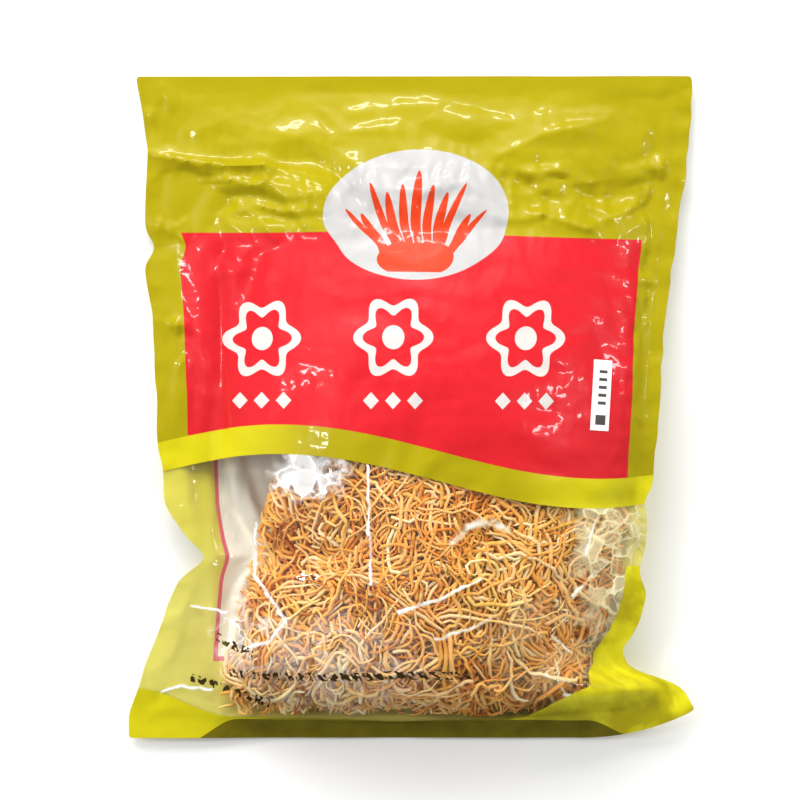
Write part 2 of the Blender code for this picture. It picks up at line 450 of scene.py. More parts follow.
# Folds that were pressed into the film when it was handled: the points that each runs through, its height and
# the reach of its slope to either side, in millimetres.
FOLDS = (
    (((-116, 110), (-96, 106), (-78, 104), (-64, 104)), 8.0, 3.6),
    (((-64, 104), (-50, 100), (-36, 95)), 6.0, 2.8),
    (((-104, 100), (-92, 98), (-78, 98), (-66, 95)), 4.0, 2.0),
    (((-36, 103), (0, 102), (38, 103)), 0.6, 1.2),
    (((-92, 120), (-90, 110), (-88, 104)), 1.3, 3.0),
    (((-74, 118), (-60, 112), (-52, 108)), 1.0, 3.0),
    (((-62, 98), (-52, 86), (-46, 78)), 3.0, 2.4),
    (((-84, 92), (-66, 82), (-58, 72)), 2.6, 2.4),
    (((36, 107), (58, 118), (84, 124)), 3.0, 4.0),
    (((55, 98), (68, 96), (80, 97)), 3.2, 2.0),
    (((53, 97), (62, 91), (66, 82), (72, 92)), 1.2, 2.0),
    (((40, 87), (58, 82), (76, 76)), 3.4, 2.4),
    (((76, 77), (90, 83), (100, 88)), 3.0, 2.8),
    (((-82, 72), (-74, 64), (-64, 55)), 1.0, 1.6),
    (((-18, -26), (-17, -50), (-18, -74)), 1.5, 1.4),
    (((-5, -86), (14, -79), (30, -73)), 1.4, 1.4),
    (((9, -97), (22, -92), (34, -88)), 1.2, 1.3),
    (((-68, -46), (-64, -66), (-53, -92), (-66, -102), (-76, -106)), 1.6, 1.3),
    (((64, -66), (72, -72), (80, -88)), 1.2, 1.6),
    (((66, -122), (80, -125), (94, -128)), 1.4, 1.5),
    (((-116, -122), (-98, -120), (-84, -124)), 1.4, 2.0),
    (((84, -24), (90, -14), (95, -8)), 1.2, 1.6),
)


def fold_heights(x, y):
    """How far the folds lift the film at each point."""
    points = np.stack([x, y], axis=-1)
    lift = np.zeros(len(points))
    for line, height, reach in FOLDS:
        line = np.array(line) * MM
        nearest = np.full(len(points), 1.0)
        for start, end in zip(line, line[1:]):
            run = end - start
            share = np.clip((points - start) @ run / (run @ run), 0, 1)
            nearest = np.minimum(nearest, np.linalg.norm(points - start - share[:, None] * run, axis=1))
        lift += height * MM * np.exp(-nearest / (reach * MM)) * np.clip(2 - nearest / (5 * MM), 0, 1) / 2
    return lift


def crumples(x, y):
    """The film's small crumples, deepest across the empty top and beside the side seals."""
    across = np.abs(share_across(x, y))
    crease = np.exp(-(((y - 92 * MM) / (17 * MM)) ** 2))
    beside = blend((across - 0.78) / 0.12) * (0.55 + 0.45 * blend((y + 30 * MM) / (60 * MM)))
    top = blend((y - 62 * MM) / (20 * MM))
    low = 0.16 + 0.14 * blend((y + 30 * MM) / (50 * MM))
    depth = np.maximum(np.maximum(low, 0.45 * top), np.maximum(1.8 * crease, 1.0 * beside))
    coarse = 2.3 * facets(x, y, 23 * MM, 51)
    middle = 1.2 * facets(x * 0.9 + y * 0.44, y * 0.9 - x * 0.44, 10 * MM, 52)
    fine = 0.5 * facets(x * 0.6 - y * 0.8, y * 0.6 + x * 0.8, 4.5 * MM, 53)
    fine = fine * (1 + 1.2 * blend((across - 0.8) / 0.1))
    return (coarse + middle + fine) * depth * MM


def creases(x, y):
    """How far all creases together lift the film at each point."""
    return fold_heights(x, y) + crumples(x, y)


def off_the_weld(x, y):
    """0 on the welded bands, rising to 1 just inside them."""
    across, along = share_across(x, y), (y - BOTTOM) / LENGTH
    return blend((1 - np.abs(across)) / 0.10) * blend(along / 0.05) * blend((1 - along) / 0.05)


def seam_creases(x, y):
    """The part of the creases that both webs share, because they are welded to each other there."""
    return SHARED_CREASES * (1 - off_the_weld(x, y)) * creases(x, y)


def front_creases(x, y):
    """The front web's creases, which never reach down to the back web."""
    shared = seam_creases(x, y)
    own = off_the_weld(x, y) * creases(x, y)
    across, along = share_across(x, y), (y - BOTTOM) / LENGTH
    room = front_height(across, y, along) - back_height(across, y, along)
    return shared + np.maximum(own, -DEEPEST_VALLEY * room)


def seam_ripple(across, along):
    """The small waves of the welded bands, which both webs share: how far they move it across and up."""
    near_side = np.clip(1 - (1 - np.abs(across)) / 0.20, 0, 1)
    near_end = np.clip(1 - np.minimum(along, 1 - along) / 0.08, 0, 1)
    side = np.sign(across)
    place = along * LENGTH
    slow = value_noise(place, side * 50 * MM, 17 * MM, 21)
    fast = value_noise(place, side * 50 * MM, 6 * MM, 22)
    ends = value_noise(across * CUT_WIDTH / 2, np.sign(along - 0.5) * 50 * MM, 24 * MM, 23)
    outward = side * near_side * (0.7 * slow + 0.5 * fast) * MM
    up = near_side * (0.9 * slow - 0.6 * fast) + near_end * 0.8 * ends
    return outward, up * MM


def smooth_web(height, offset):
    """The unwrinkled surface of one web, and the shares of its vertices."""
    across, along = web_grid()
    x, y = plan_point(across, along)
    outward, up = seam_ripple(across, along)
    z = height(across, y, along) + offset + np.maximum(up, -0.3 * weld_height(across, y))
    return np.stack([x + outward, y, z], axis=1), across, along


def off_the_seals(across, along):
    """Which vertices are free to move, away from the welded bands."""
    side = np.abs(across) < 1 - 2 * SEAL / CUT_WIDTH
    return side & (along > SEAL / LENGTH) & (along < 1 - SEAL / LENGTH)


# How far each web's print is squeezed between its seams. The back's seams move in more than its print does.
BACK_SQUEEZE, FRONT_SQUEEZE = 0.2, 0.75


def print_drawn_in(across, points, squeeze):
    """Where the print lies across: all of it between the seams at a squeeze of 1, cut off by them at 0."""
    return squeeze * across * CUT_WIDTH / 2 + (1 - squeeze) * points[:, 0]


def finish_web(web, print_across, along, thickness, lift):
    """Refines a settled web, lays the print on it and gives it the film's thickness."""
    print_layer = web.data.uv_layers[0]
    print_layer.name = "print"
    corners = np.empty(len(web.data.loops), np.int32)
    web.data.loops.foreach_get("vertex_index", corners)
    places = np.stack([print_across, BOTTOM + along * LENGTH], axis=1)[corners] * PRINT_UNITS
    print_layer.data.foreach_set("uv", places.astype(np.float32).ravel())
    finer = web.modifiers.new("Finer", "SUBSURF")
    finer.levels = finer.render_levels = 1
    apply_modifiers(web)
    points = vertices_of(web)
    points[:, 2] = np.maximum(points[:, 2] + lift(points[:, 0], points[:, 1]), thickness)
    place_vertices(web, points)
    solid = web.modifiers.new("Thickness", "SOLIDIFY")
    solid.thickness = thickness
    solid.offset = 0.0
    solid.use_even_offset = False
    apply_modifiers(web)


PRINT_UNITS = 10.0  # the print's coordinates are in tenths of a metre


def print_places(tree):
    """The print's own coordinates, in millimetres across and along the flat bag."""
    place = add(tree, "ShaderNodeUVMap", uv_map="print")
    scaled = add(tree, "ShaderNodeVectorMath", {0: place, 1: (1000 / PRINT_UNITS,) * 3}, operation="MULTIPLY")
    split = add(tree, "ShaderNodeSeparateXYZ", {0: scaled}).node
    return scaled, split.outputs["X"], split.outputs["Y"]


def inside_box(tree, x, y, low, high):
    """1 inside a box of the print, from low to high in millimetres."""
    middle, half = [(a + b) / 2 for a, b in zip(low, high)], [(b - a) / 2 for a, b in zip(low, high)]
    across = add(tree, "ShaderNodeMath", {0: x, 1: middle[0], 2: half[0]}, operation="COMPARE")
    along = add(tree, "ShaderNodeMath", {0: y, 1: middle[1], 2: half[1]}, operation="COMPARE")
    return add(tree, "ShaderNodeMath", {0: across, 1: along}, operation="MULTIPLY")


def paint(tree, base, mask, colour):
    """Lays a colour over another one where a mask is 1."""
    mixed = add(tree, "ShaderNodeMix", {0: mask, 6: base, 7: colour}, data_type="RGBA").node
    return mixed.outputs[2]


# The printed design, in millimetres: a plain label over a wave, a pale oval with a tuft, and plain ornaments.

WAVE_MIDDLE, WAVE_HEIGHT, WAVE_LENGTH, WAVE_CREST = -19.1, 11.3, 300.0, -58.0
LABEL_SIDE, LABEL_TOP = 103.0, 73.5
BAND_UNDER_LABEL = 12.5
OVAL_PLACE, OVAL_SIZE = (2.0, 81.6), (40.8, 28.3)
BOTTOM_BAND = -133.5
# Rows of smudged marks over the window: middle, half length, height and slope.
MARK_ROWS = ((-22.0, 56.0, -113.0, 0.0), (-79.0, 18.0, -121.0, -0.25), (-77.0, 10.0, -101.0, -0.25))
DIAMOND_ROW = 2.5
# The window's yellow side: its top, its edge from there to the bottom, and how far it curves in at the bottom.
SIDE_TOP, SIDE_EDGES, SIDE_INWARD = -68.0, (104.0, 91.0), 54.0
# The back's pale panel, from low to high, and the width of its frame line.
PANEL_LOW, PANEL_HIGH, PANEL_LINE = (-83.5, -108.0), (75.0, 60.0), 2.0
LABEL_TILT = 0.016
ORNAMENT_SPACING, ORNAMENT_HEIGHT, ORNAMENT_RADIUS = 60.0, 29.0, 17.0
# The stalks on one side of the tuft in the oval: place, half size and lean.
STALKS = (
    ((0, 0), (2.3, 19), 0),
    ((5.0, -4), (2.0, 17), -6),
    ((9.5, -7), (2.1, 17), -13),
    ((14.0, -4), (1.6, 19), -22),
    ((17.0, -12), (2.0, 14), -30),
    ((21.0, -9), (1.3, 15), -42),
    ((6.0, -19), (11, 7), 0),
)


def wave_edge(tree, x):
    """The height of the wave along the label's lower edge."""
    turn = add(
        tree,
        "ShaderNodeMath",
        {0: x, 1: 2 * math.pi / WAVE_LENGTH, 2: -WAVE_CREST * 2 * math.pi / WAVE_LENGTH},
        operation="MULTIPLY_ADD",
    )
    wave = add(tree, "ShaderNodeMath", {0: turn}, operation="COSINE")
    return add(tree, "ShaderNodeMath", {0: wave, 1: WAVE_HEIGHT, 2: WAVE_MIDDLE}, operation="MULTIPLY_ADD")


def ellipse(tree, place, centre, size, turn=0.0):
    """1 inside an ellipse of the print."""
    local = add(
        tree,
        "ShaderNodeMapping",
        {0: place, 1: (*centre, 0), 2: (0, 0, math.radians(turn)), 3: (*size, 1)},
        vector_type="TEXTURE",
    )
    reach = add(tree, "ShaderNodeVectorMath", {0: local}, operation="LENGTH").node.outputs["Value"]
    return add(tree, "ShaderNodeMath", {0: reach, 1: 1.0}, operation="LESS_THAN")


def largest(tree, masks):
    total = masks[0]
    for mask in masks[1:]:
        total = add(tree, "ShaderNodeMath", {0: total, 1: mask}, operation="MAXIMUM")
    return total


def tuft(tree, x, y):
    """A plain tuft of upright stalks that fans out from its foot, for the oval."""
    from_middle = add(tree, "ShaderNodeMath", {0: x, 1: OVAL_PLACE[0]}, operation="SUBTRACT")
    mirrored = add(tree, "ShaderNodeMath", {0: from_middle}, operation="ABSOLUTE")
    height = add(tree, "ShaderNodeMath", {0: y, 1: OVAL_PLACE[1]}, operation="SUBTRACT")
    place = add(tree, "ShaderNodeCombineXYZ", {0: mirrored, 1: height})
    stalks = largest(tree, [ellipse(tree, place, centre, size, turn) for centre, size, turn in STALKS])
    above = add(tree, "ShaderNodeMath", {0: height, 1: -25.0}, operation="GREATER_THAN")
    return add(tree, "ShaderNodeMath", {0: stalks, 1: above}, operation="MULTIPLY")


def ornaments(tree, x, y):
    """A row of three plain rosettes, with a few small diamonds under each."""
    moved = add(tree, "ShaderNodeMath", {0: x, 1: 7.0}, operation="ADD")
    half = ORNAMENT_SPACING / 2
    local = add(tree, "ShaderNodeMath", {0: moved, 1: half, 2: -half}, operation="WRAP")
    height = add(tree, "ShaderNodeMath", {0: y, 1: ORNAMENT_HEIGHT}, operation="SUBTRACT")
    place = add(tree, "ShaderNodeCombineXYZ", {0: local, 1: height})
    reach = add(tree, "ShaderNodeVectorMath", {0: place}, operation="LENGTH").node.outputs["Value"]
    angle = add(tree, "ShaderNodeMath", {0: height, 1: local}, operation="ARCTAN2")
    petals = add(tree, "ShaderNodeMath", {0: angle, 1: 6.0}, operation="MULTIPLY")
    wave = add(tree, "ShaderNodeMath", {0: petals}, operation="COSINE")
    edge = add(
        tree,
        "ShaderNodeMath",
        {0: wave, 1: 0.14 * ORNAMENT_RADIUS, 2: 0.80 * ORNAMENT_RADIUS},
        operation="MULTIPLY_ADD",
    )
    from_edge = add(tree, "ShaderNodeMath", {0: reach, 1: edge}, operation="SUBTRACT")
    outline = add(tree, "ShaderNodeMath", {0: from_edge, 1: 0.0, 2: 2.1}, operation="COMPARE")
    heart = add(tree, "ShaderNodeMath", {0: reach, 1: 5.0}, operation="LESS_THAN")
    column = add(tree, "ShaderNodeMath", {0: local, 1: 5.0, 2: -5.0}, operation="WRAP")
    off_column = add(tree, "ShaderNodeMath", {0: column}, operation="ABSOLUTE")
    off_row = add(tree, "ShaderNodeMath", {0: y, 1: DIAMOND_ROW}, operation="SUBTRACT")
    off_row = add(tree, "ShaderNodeMath", {0: off_row}, operation="ABSOLUTE")
    off_middle = add(tree, "ShaderNodeMath", {0: off_column, 1: off_row}, operation="ADD")
    diamond = add(tree, "ShaderNodeMath", {0: off_middle, 1: 3.6}, operation="LESS_THAN")
    in_row = add(tree, "ShaderNodeMath", {0: local, 1: 0.0, 2: 15.0}, operation="COMPARE")
    diamonds = add(tree, "ShaderNodeMath", {0: diamond, 1: in_row}, operation="MULTIPLY")
    drawn = largest(tree, [outline, heart, diamonds])
    three = add(tree, "ShaderNodeMath", {0: moved, 1: 0.0, 2: 1.5 * ORNAMENT_SPACING}, operation="COMPARE")
    return add(tree, "ShaderNodeMath", {0: drawn, 1: three}, operation="MULTIPLY")


def film_wrinkles(tree, strength):
    """Fine wrinkles of thin film, a few millimetres across, as a bump."""
    place = add(tree, "ShaderNodeTexCoord").node.outputs["Object"]
    noise = add(tree, "ShaderNodeTexNoise", {"Vector": place, "Scale": 1 / (12 * MM), "Detail": 2.0}).node
    bent, reach = noise.outputs["Color"], (6 * MM,) * 3
    wandering = add(tree, "ShaderNodeVectorMath", {0: bent, 1: reach, 2: place}, operation="MULTIPLY_ADD")
    cells = {"Vector": wandering, "Scale": 1 / (8 * MM)}
    flats = add(tree, "ShaderNodeTexVoronoi", cells, feature="F1", distance="MANHATTAN")
    return add(tree, "ShaderNodeBump", {"Strength": strength, "Distance": 0.8 * MM, "Height": flats})


CLEAR_HAZE = 0.012  # how milky clear film is where it isn't creased
PATCH_RAGGEDNESS, CREASE_RAGGEDNESS = 26.0, 3.5  # in millimetres
GLINT_FACETS = 0.13  # facets for each millimetre of milky film
# Where clear film is creased so often that it looks milky, drawn with painted glare: place and half size in
# millimetres, and strength.
PAINTED_GLARE_SPOTS = (
    ((85, -56), (20, 52), 0.75),
    ((-44, -29), (19, 12), 1.0),
    ((-72, -98), (16, 22), 0.30),
    ((62, -100), (40, 30), 0.15),
    ((-30, -108), (48, 26), 0.17),
)
# Painted highlights along single sharp creases in clear film, drawn white: the points that each runs through,
# and its width.
PAINTED_CREASE_HIGHLIGHTS = (
    (((-18, -25), (-18, -50), (-17, -74)), 0.9),
    (((-5, -86), (13, -80), (29, -72)), 1.2),
    (((10, -97), (23, -94), (33, -88)), 1.1),
    (((-66, -50), (-67, -71), (-58, -83), (-53, -91), (-60, -99), (-71, -103)), 1.0),
    (((17, -56), (24, -50), (34, -48), (40, -52)), 2.2),
    (((78, -46), (74, -62)), 1.0),
    (((82, -65), (68, -80)), 1.1),
    (((59, -96), (68, -104)), 0.9),
    (((65, -122), (80, -125), (94, -127)), 1.3),
    (((-108, -123), (-99, -120), (-86, -122)), 1.0),
    (((-95, -86), (-79, -88)), 0.8),
)


def crease_line(tree, place, start, end, width):
    """1 along a straight crease, fading to 0 within its width."""
    run = (end[0] - start[0], end[1] - start[1], 0)
    per_length = 1 / (run[0] ** 2 + run[1] ** 2)
    from_start = add(tree, "ShaderNodeVectorMath", {0: place, 1: (*start, 0)}, operation="SUBTRACT")
    scaled_run = (run[0] * per_length, run[1] * per_length, 0)
    share = add(tree, "ShaderNodeVectorMath", {0: from_start, 1: scaled_run}, operation="DOT_PRODUCT")
    share = add(tree, "ShaderNodeClamp", {0: share.node.outputs["Value"]})
    nearest = add(tree, "ShaderNodeVectorMath", {0: run, 3: share}, operation="SCALE")
    apart = add(tree, "ShaderNodeVectorMath", {0: from_start, 1: nearest}, operation="DISTANCE")
    fading = {0: apart.node.outputs["Value"], 1: width, 2: 0.0, 3: 0.0, 4: 1.0}
    return add(tree, "ShaderNodeMapRange", fading, interpolation_type="SMOOTHSTEP")


def crumple_glints(tree, place, shift):
    """Painted glints: straight creases that cross the milky film about every 8 mm, with facets of different
    haze and painted glare between.
    """
    moved = add(tree, "ShaderNodeVectorMath", {0: shift, 1: (9, 9, 0), 2: place}, operation="MULTIPLY_ADD")
    cells = {"Vector": moved, "Scale": GLINT_FACETS}
    edges = add(tree, "ShaderNodeTexVoronoi", cells, feature="DISTANCE_TO_EDGE")
    colours = add(tree, "ShaderNodeTexVoronoi", cells, feature="F1").node.outputs["Color"]
    facet = add(tree, "ShaderNodeSeparateXYZ", {0: colours}).node
    fold = add(tree, "ShaderNodeMapRange", {0: edges, 1: 0.11, 2: 0.0, 3: 0.0, 4: 0.85})
    fold = add(tree, "ShaderNodeMath", {0: fold, 1: facet.outputs["Y"]}, operation="MULTIPLY")
    return add(tree, "ShaderNodeMath", {0: facet.outputs["X"], 1: 0.45, 2: fold}, operation="MULTIPLY_ADD")


def shaken(tree, place, shift, reach):
    """Places moved at random, over a reach in millimetres, so that what is drawn at them is ragged."""
    span, back = (reach, reach, 0), (reach / 2, reach / 2, 0)
    moved = add(tree, "ShaderNodeVectorMath", {0: shift, 1: span, 2: place}, operation="MULTIPLY_ADD")
    return add(tree, "ShaderNodeVectorMath", {0: moved, 1: back}, operation="SUBTRACT")


def haze_and_glare(tree):
    """How milky the clear film is, with painted glare in patches of small creases and painted highlights at
    sharp ones, and its haze's colour.
    """
    position = add(tree, "ShaderNodeTexCoord").node.outputs["Object"]
    place = add(tree, "ShaderNodeVectorMath", {0: position, 1: (1000, 1000, 0)}, operation="MULTIPLY")
    noise = add(tree, "ShaderNodeTexNoise", {"Vector": place, "Scale": 0.14, "Detail": 2.0}).node
    shift = noise.outputs["Color"]
    glinting_facets = crumple_glints(tree, place, shift)
    ragged = shaken(tree, place, shift, PATCH_RAGGEDNESS)
    spots = []
    for centre, size, strength in PAINTED_GLARE_SPOTS:
        fitted = {0: ragged, 1: (*centre, 0), 3: (*size, 1)}
        local = add(tree, "ShaderNodeMapping", fitted, vector_type="TEXTURE")
        reach = add(tree, "ShaderNodeVectorMath", {0: local}, operation="LENGTH").node.outputs["Value"]
        fading = {0: reach, 1: 1.0, 2: 0.45, 3: 0.0, 4: strength}
        spots.append(add(tree, "ShaderNodeMapRange", fading, interpolation_type="SMOOTHSTEP"))
    # Painted glare: the milky patches, broken into glinting facets.
    milky = add(tree, "ShaderNodeMath", {0: largest(tree, spots), 1: glinting_facets}, operation="MULTIPLY")
    # Painted highlights: broken white lines along the listed creases.
    near = shaken(tree, place, shift, CREASE_RAGGEDNESS)
    lines = []
    for points, width in PAINTED_CREASE_HIGHLIGHTS:
        for start, end in zip(points, points[1:]):
            lines.append(crease_line(tree, near, start, end, width))
    broken = add(tree, "ShaderNodeMapRange", {0: noise.outputs[0], 1: 0.38, 2: 0.56, 3: 0.25, 4: 0.90})
    creased = add(tree, "ShaderNodeMath", {0: largest(tree, lines), 1: broken}, operation="MULTIPLY")
    most = add(tree, "ShaderNodeMath", {0: creased, 1: milky}, operation="MAXIMUM")
    amount = add(tree, "ShaderNodeMath", {0: most, 1: CLEAR_HAZE}, operation="ADD")
    across = add(tree, "ShaderNodeSeparateXYZ", {0: place})
    # The haze and painted glare turn from pale yellow to white towards the left, and white on the painted
    # highlights.
    glare_whiter_leftwards = add(tree, "ShaderNodeMapRange", {0: across, 1: 30.0, 2: 0.0})
    white = add(tree, "ShaderNodeMath", {0: creased, 1: glare_whiter_leftwards}, operation="MAXIMUM")
    return amount, paint(tree, linear("#FCF4C4"), white, linear("#FFFFFF"))


def ink_under_gloss(tree, colour, wrinkles):
    """Printed film: ink with some depth, seen through the glossy outer layer."""
    return add(
        tree,
        "ShaderNodeBsdfPrincipled",
        {
            "Base Color": colour,
            "Roughness": 0.32,
            "Coat Weight": 0.85,
            "Coat Roughness": 0.05,
            "Normal": wrinkles,
            "Coat Normal": wrinkles,
        },
    )


def clear_film(tree, wrinkles, cloudy, haze_and_glare_colour):
    """Film without ink: see-through, milky where it is creased, white with painted glare and painted highlights
    where the haze amount is high, and mirroring more at grazing angles.
    """
    clear = add(tree, "ShaderNodeBsdfTransparent", {"Color": (0.985, 0.985, 0.98, 1)})
    # Painted glare and highlights: a white diffuse layer, mixed in by the haze amount.
    haze = add(tree, "ShaderNodeBsdfDiffuse", {"Color": haze_and_glare_colour})
    film = add(tree, "ShaderNodeMixShader", {0: cloudy, 1: clear, 2: haze})
    shine = {"Color": (1, 1, 1, 1), "Roughness": 0.06, "Normal": wrinkles}
    gloss = add(tree, "ShaderNodeBsdfAnisotropic", shine)
    facing = add(tree, "ShaderNodeLayerWeight", {"Blend": 0.5, "Normal": wrinkles}).node.outputs["Facing"]
    grazing = add(tree, "ShaderNodeMath", {0: facing, 1: 5.0}, operation="POWER")
    mirrored = add(tree, "ShaderNodeMath", {0: grazing, 1: 0.30, 2: 0.04}, operation="MULTIPLY_ADD")
    return add(tree, "ShaderNodeMixShader", {0: mirrored, 1: film, 2: gloss})


def smudged_marks(tree, place, x, y):
    """Three short rows of small dark smudges, which stand for stamped lettering."""
    blots = add(tree, "ShaderNodeTexNoise", {"Vector": place, "Scale": 0.42, "Detail": 1.5})
    blotted = add(tree, "ShaderNodeMath", {0: blots, 1: 0.50}, operation="GREATER_THAN")
    rows = []
    for middle, half, height, slope in MARK_ROWS:
        from_middle = add(tree, "ShaderNodeMath", {0: x, 1: middle}, operation="SUBTRACT")
        sloped = add(tree, "ShaderNodeMath", {0: from_middle, 1: slope, 2: height}, operation="MULTIPLY_ADD")
        in_row = add(tree, "ShaderNodeMath", {0: y, 1: sloped, 2: 1.7}, operation="COMPARE")
        in_reach = add(tree, "ShaderNodeMath", {0: x, 1: middle, 2: half}, operation="COMPARE")
        rows.append(add(tree, "ShaderNodeMath", {0: in_row, 1: in_reach}, operation="MULTIPLY"))
    letters = add(tree, "ShaderNodeMath", {0: x, 1: 5.2, 2: 0.0}, operation="WRAP")
    letter = add(tree, "ShaderNodeMath", {0: letters, 1: 3.9}, operation="LESS_THAN")
    spaced = add(tree, "ShaderNodeMath", {0: blotted, 1: letter}, operation="MULTIPLY")
    return add(tree, "ShaderNodeMath", {0: largest(tree, rows), 1: spaced}, operation="MULTIPLY")


def side_print(tree, place, x, y):
    """1 on the yellow side of the window at the lower right, which curves in towards the bottom seal."""
    edge = add(tree, "ShaderNodeMapRange", {0: y, 1: -66.0, 2: -118.0, 3: SIDE_EDGES[0], 4: SIDE_EDGES[1]})
    curving = {0: y, 1: -110.0, 2: -134.0, 3: 0.0, 4: SIDE_INWARD}
    inward = add(tree, "ShaderNodeMapRange", curving, interpolation_type="SMOOTHSTEP")
    edge = add(tree, "ShaderNodeMath", {0: edge, 1: inward}, operation="SUBTRACT")
    ragged = add(tree, "ShaderNodeTexNoise", {"Vector": place, "Scale": 0.09, "Detail": 4.0})
    edge = add(tree, "ShaderNodeMath", {0: ragged, 1: 9.0, 2: edge}, operation="MULTIPLY_ADD")
    beyond = add(tree, "ShaderNodeMath", {0: x, 1: edge}, operation="GREATER_THAN")
    low = add(tree, "ShaderNodeMath", {0: y, 1: SIDE_TOP}, operation="LESS_THAN")
    return add(tree, "ShaderNodeMath", {0: beyond, 1: low}, operation="MULTIPLY")


def front_print(colours):
    """Reverse-printed polyester laminated to polyethylene: ink with depth under a bright, wrinkled gloss."""
    material, tree = new_material("Laminated film, printed front")
    place, x, y = print_places(tree)
    wave = wave_edge(tree, x)
    above_wave = add(tree, "ShaderNodeMath", {0: y, 1: wave}, operation="GREATER_THAN")
    tilted = add(tree, "ShaderNodeMath", {0: x, 1: LABEL_TILT, 2: y}, operation="MULTIPLY_ADD")
    label_box = inside_box(tree, x, tilted, (-LABEL_SIDE, -60), (LABEL_SIDE, LABEL_TOP))
    label = add(tree, "ShaderNodeMath", {0: above_wave, 1: label_box}, operation="MULTIPLY")
    window_top = add(tree, "ShaderNodeMath", {0: wave, 1: BAND_UNDER_LABEL}, operation="SUBTRACT")
    over_window = add(tree, "ShaderNodeMath", {0: y, 1: window_top}, operation="GREATER_THAN")
    corner = add(
        tree,
        "ShaderNodeMapRange",
        {0: x, 1: -75.0, 2: -120.0, 3: BOTTOM_BAND, 4: BOTTOM_BAND + 12.0},
        interpolation_type="SMOOTHSTEP",
    )
    under_window = add(tree, "ShaderNodeMath", {0: y, 1: corner}, operation="LESS_THAN")
    marks = smudged_marks(tree, place, x, y)
    side = side_print(tree, place, x, y)
    cloudy = add(tree, "ShaderNodeTexNoise", {"Vector": place, "Scale": 0.03, "Detail": 2.0})
    yellow = paint(tree, linear(colours.yellow_dark_hex), cloudy, linear(colours.yellow_hex))
    # Painted light: under the wave the yellow is lighter towards both ends of the band.
    off_middle = add(tree, "ShaderNodeMath", {0: x}, operation="ABSOLUTE")
    widening = {0: off_middle, 1: 40.0, 2: 85.0}
    painted_light_at_ends = add(tree, "ShaderNodeMapRange", widening, interpolation_type="SMOOTHSTEP")
    under_wave = add(tree, "ShaderNodeMath", {0: y, 1: wave}, operation="LESS_THAN")
    bright = add(tree, "ShaderNodeMath", {0: painted_light_at_ends, 1: under_wave}, operation="MULTIPLY")
    yellow = paint(tree, yellow, bright, linear("#CCC10A"))
    # Painted light and shade of folds: the yellow side is mottled between a darker and a lighter yellow.
    fold_light_and_shade_noise = add(tree, "ShaderNodeTexNoise", {"Vector": place, "Scale": 0.07, "Detail": 3.0})
    mottled = add(tree, "ShaderNodeMapRange", {0: fold_light_and_shade_noise, 1: 0.42, 2: 0.58})
    side_yellow = paint(tree, linear("#BDB10A"), mottled, linear("#E2D918"))
    yellow = paint(tree, yellow, side, side_yellow)
    # Painted shade: the bottom seal, which bends down under the bulge, is painted dark olive in two mottled
    # tones.
    seal_edge = add(
        tree,
        "ShaderNodeMapRange",
        {0: off_middle, 1: 74.0, 2: 97.0, 3: BOTTOM_BAND - 1.0, 4: -145.0},
        interpolation_type="SMOOTHSTEP",
    )
    seal_in_painted_shade = add(tree, "ShaderNodeMath", {0: y, 1: seal_edge}, operation="LESS_THAN")
    seal_shade_noise = add(tree, "ShaderNodeTexNoise", {"Vector": place, "Scale": 0.12, "Detail": 3.0})
    painted_seal_shade = paint(tree, linear("#564D06"), seal_shade_noise, linear("#857A0A"))
    yellow = paint(tree, yellow, seal_in_painted_shade, painted_seal_shade)
    colour = paint(tree, yellow, label, linear(colours.red_hex))
    colour = paint(tree, colour, ornaments_on(tree, x, y, label), linear("#D0C9C4"))
    colour = paint(tree, colour, ellipse(tree, place, OVAL_PLACE, OVAL_SIZE), linear("#B9B7B5"))
    colour = paint(tree, colour, tuft(tree, x, y), linear("#CC3A14"))
    colour = paint(tree, colour, marks, linear("#3A2B12"))
    printed = largest(tree, [over_window, under_window, side, marks])
    wrinkles = film_wrinkles(tree, 0.16)
    ink = ink_under_gloss(tree, colour, wrinkles)
    window = clear_film(tree, wrinkles, *haze_and_glare(tree))
    surface = add(tree, "ShaderNodeMixShader", {0: printed, 1: window, 2: ink})
    add(tree, "ShaderNodeOutputMaterial", {"Surface": surface})
    return material


def ornaments_on(tree, x, y, label):
    return add(tree, "ShaderNodeMath", {0: ornaments(tree, x, y), 1: label}, operation="MULTIPLY")


def back_print():
    """The same film, printed yellow all over, with a pale framed panel that is left empty. Its yellow is
    painted lighter towards the bottom, as painted light.
    """
    material, tree = new_material("Laminated film, printed back")
    place, x, y = print_places(tree)
    cloudy = add(tree, "ShaderNodeTexNoise", {"Vector": place, "Scale": 0.03, "Detail": 2.0})
    # Painted light: the yellow grows lighter from 40 mm to 90 mm below the bag's middle.
    painted_light_lower_down = add(tree, "ShaderNodeMapRange", {0: y, 1: -40.0, 2: -90.0})
    dark_side = paint(tree, linear("#CFC42E"), painted_light_lower_down, linear("#DBD14C"))
    light_side = paint(tree, linear("#E4DB58"), painted_light_lower_down, linear("#F0E87C"))
    yellow = paint(tree, dark_side, cloudy, light_side)
    line_low, line_high = [v - PANEL_LINE for v in PANEL_LOW], [v + PANEL_LINE for v in PANEL_HIGH]
    frame_line = inside_box(tree, x, y, line_low, line_high)
    panel = inside_box(tree, x, y, PANEL_LOW, PANEL_HIGH)
    colour = paint(tree, yellow, frame_line, linear("#E8607A"))
    colour = paint(tree, colour, panel, linear("#FFFDEE"))
    surface = ink_under_gloss(tree, colour, film_wrinkles(tree, 0.25))
    add(tree, "ShaderNodeOutputMaterial", {"Surface": surface})
    return material


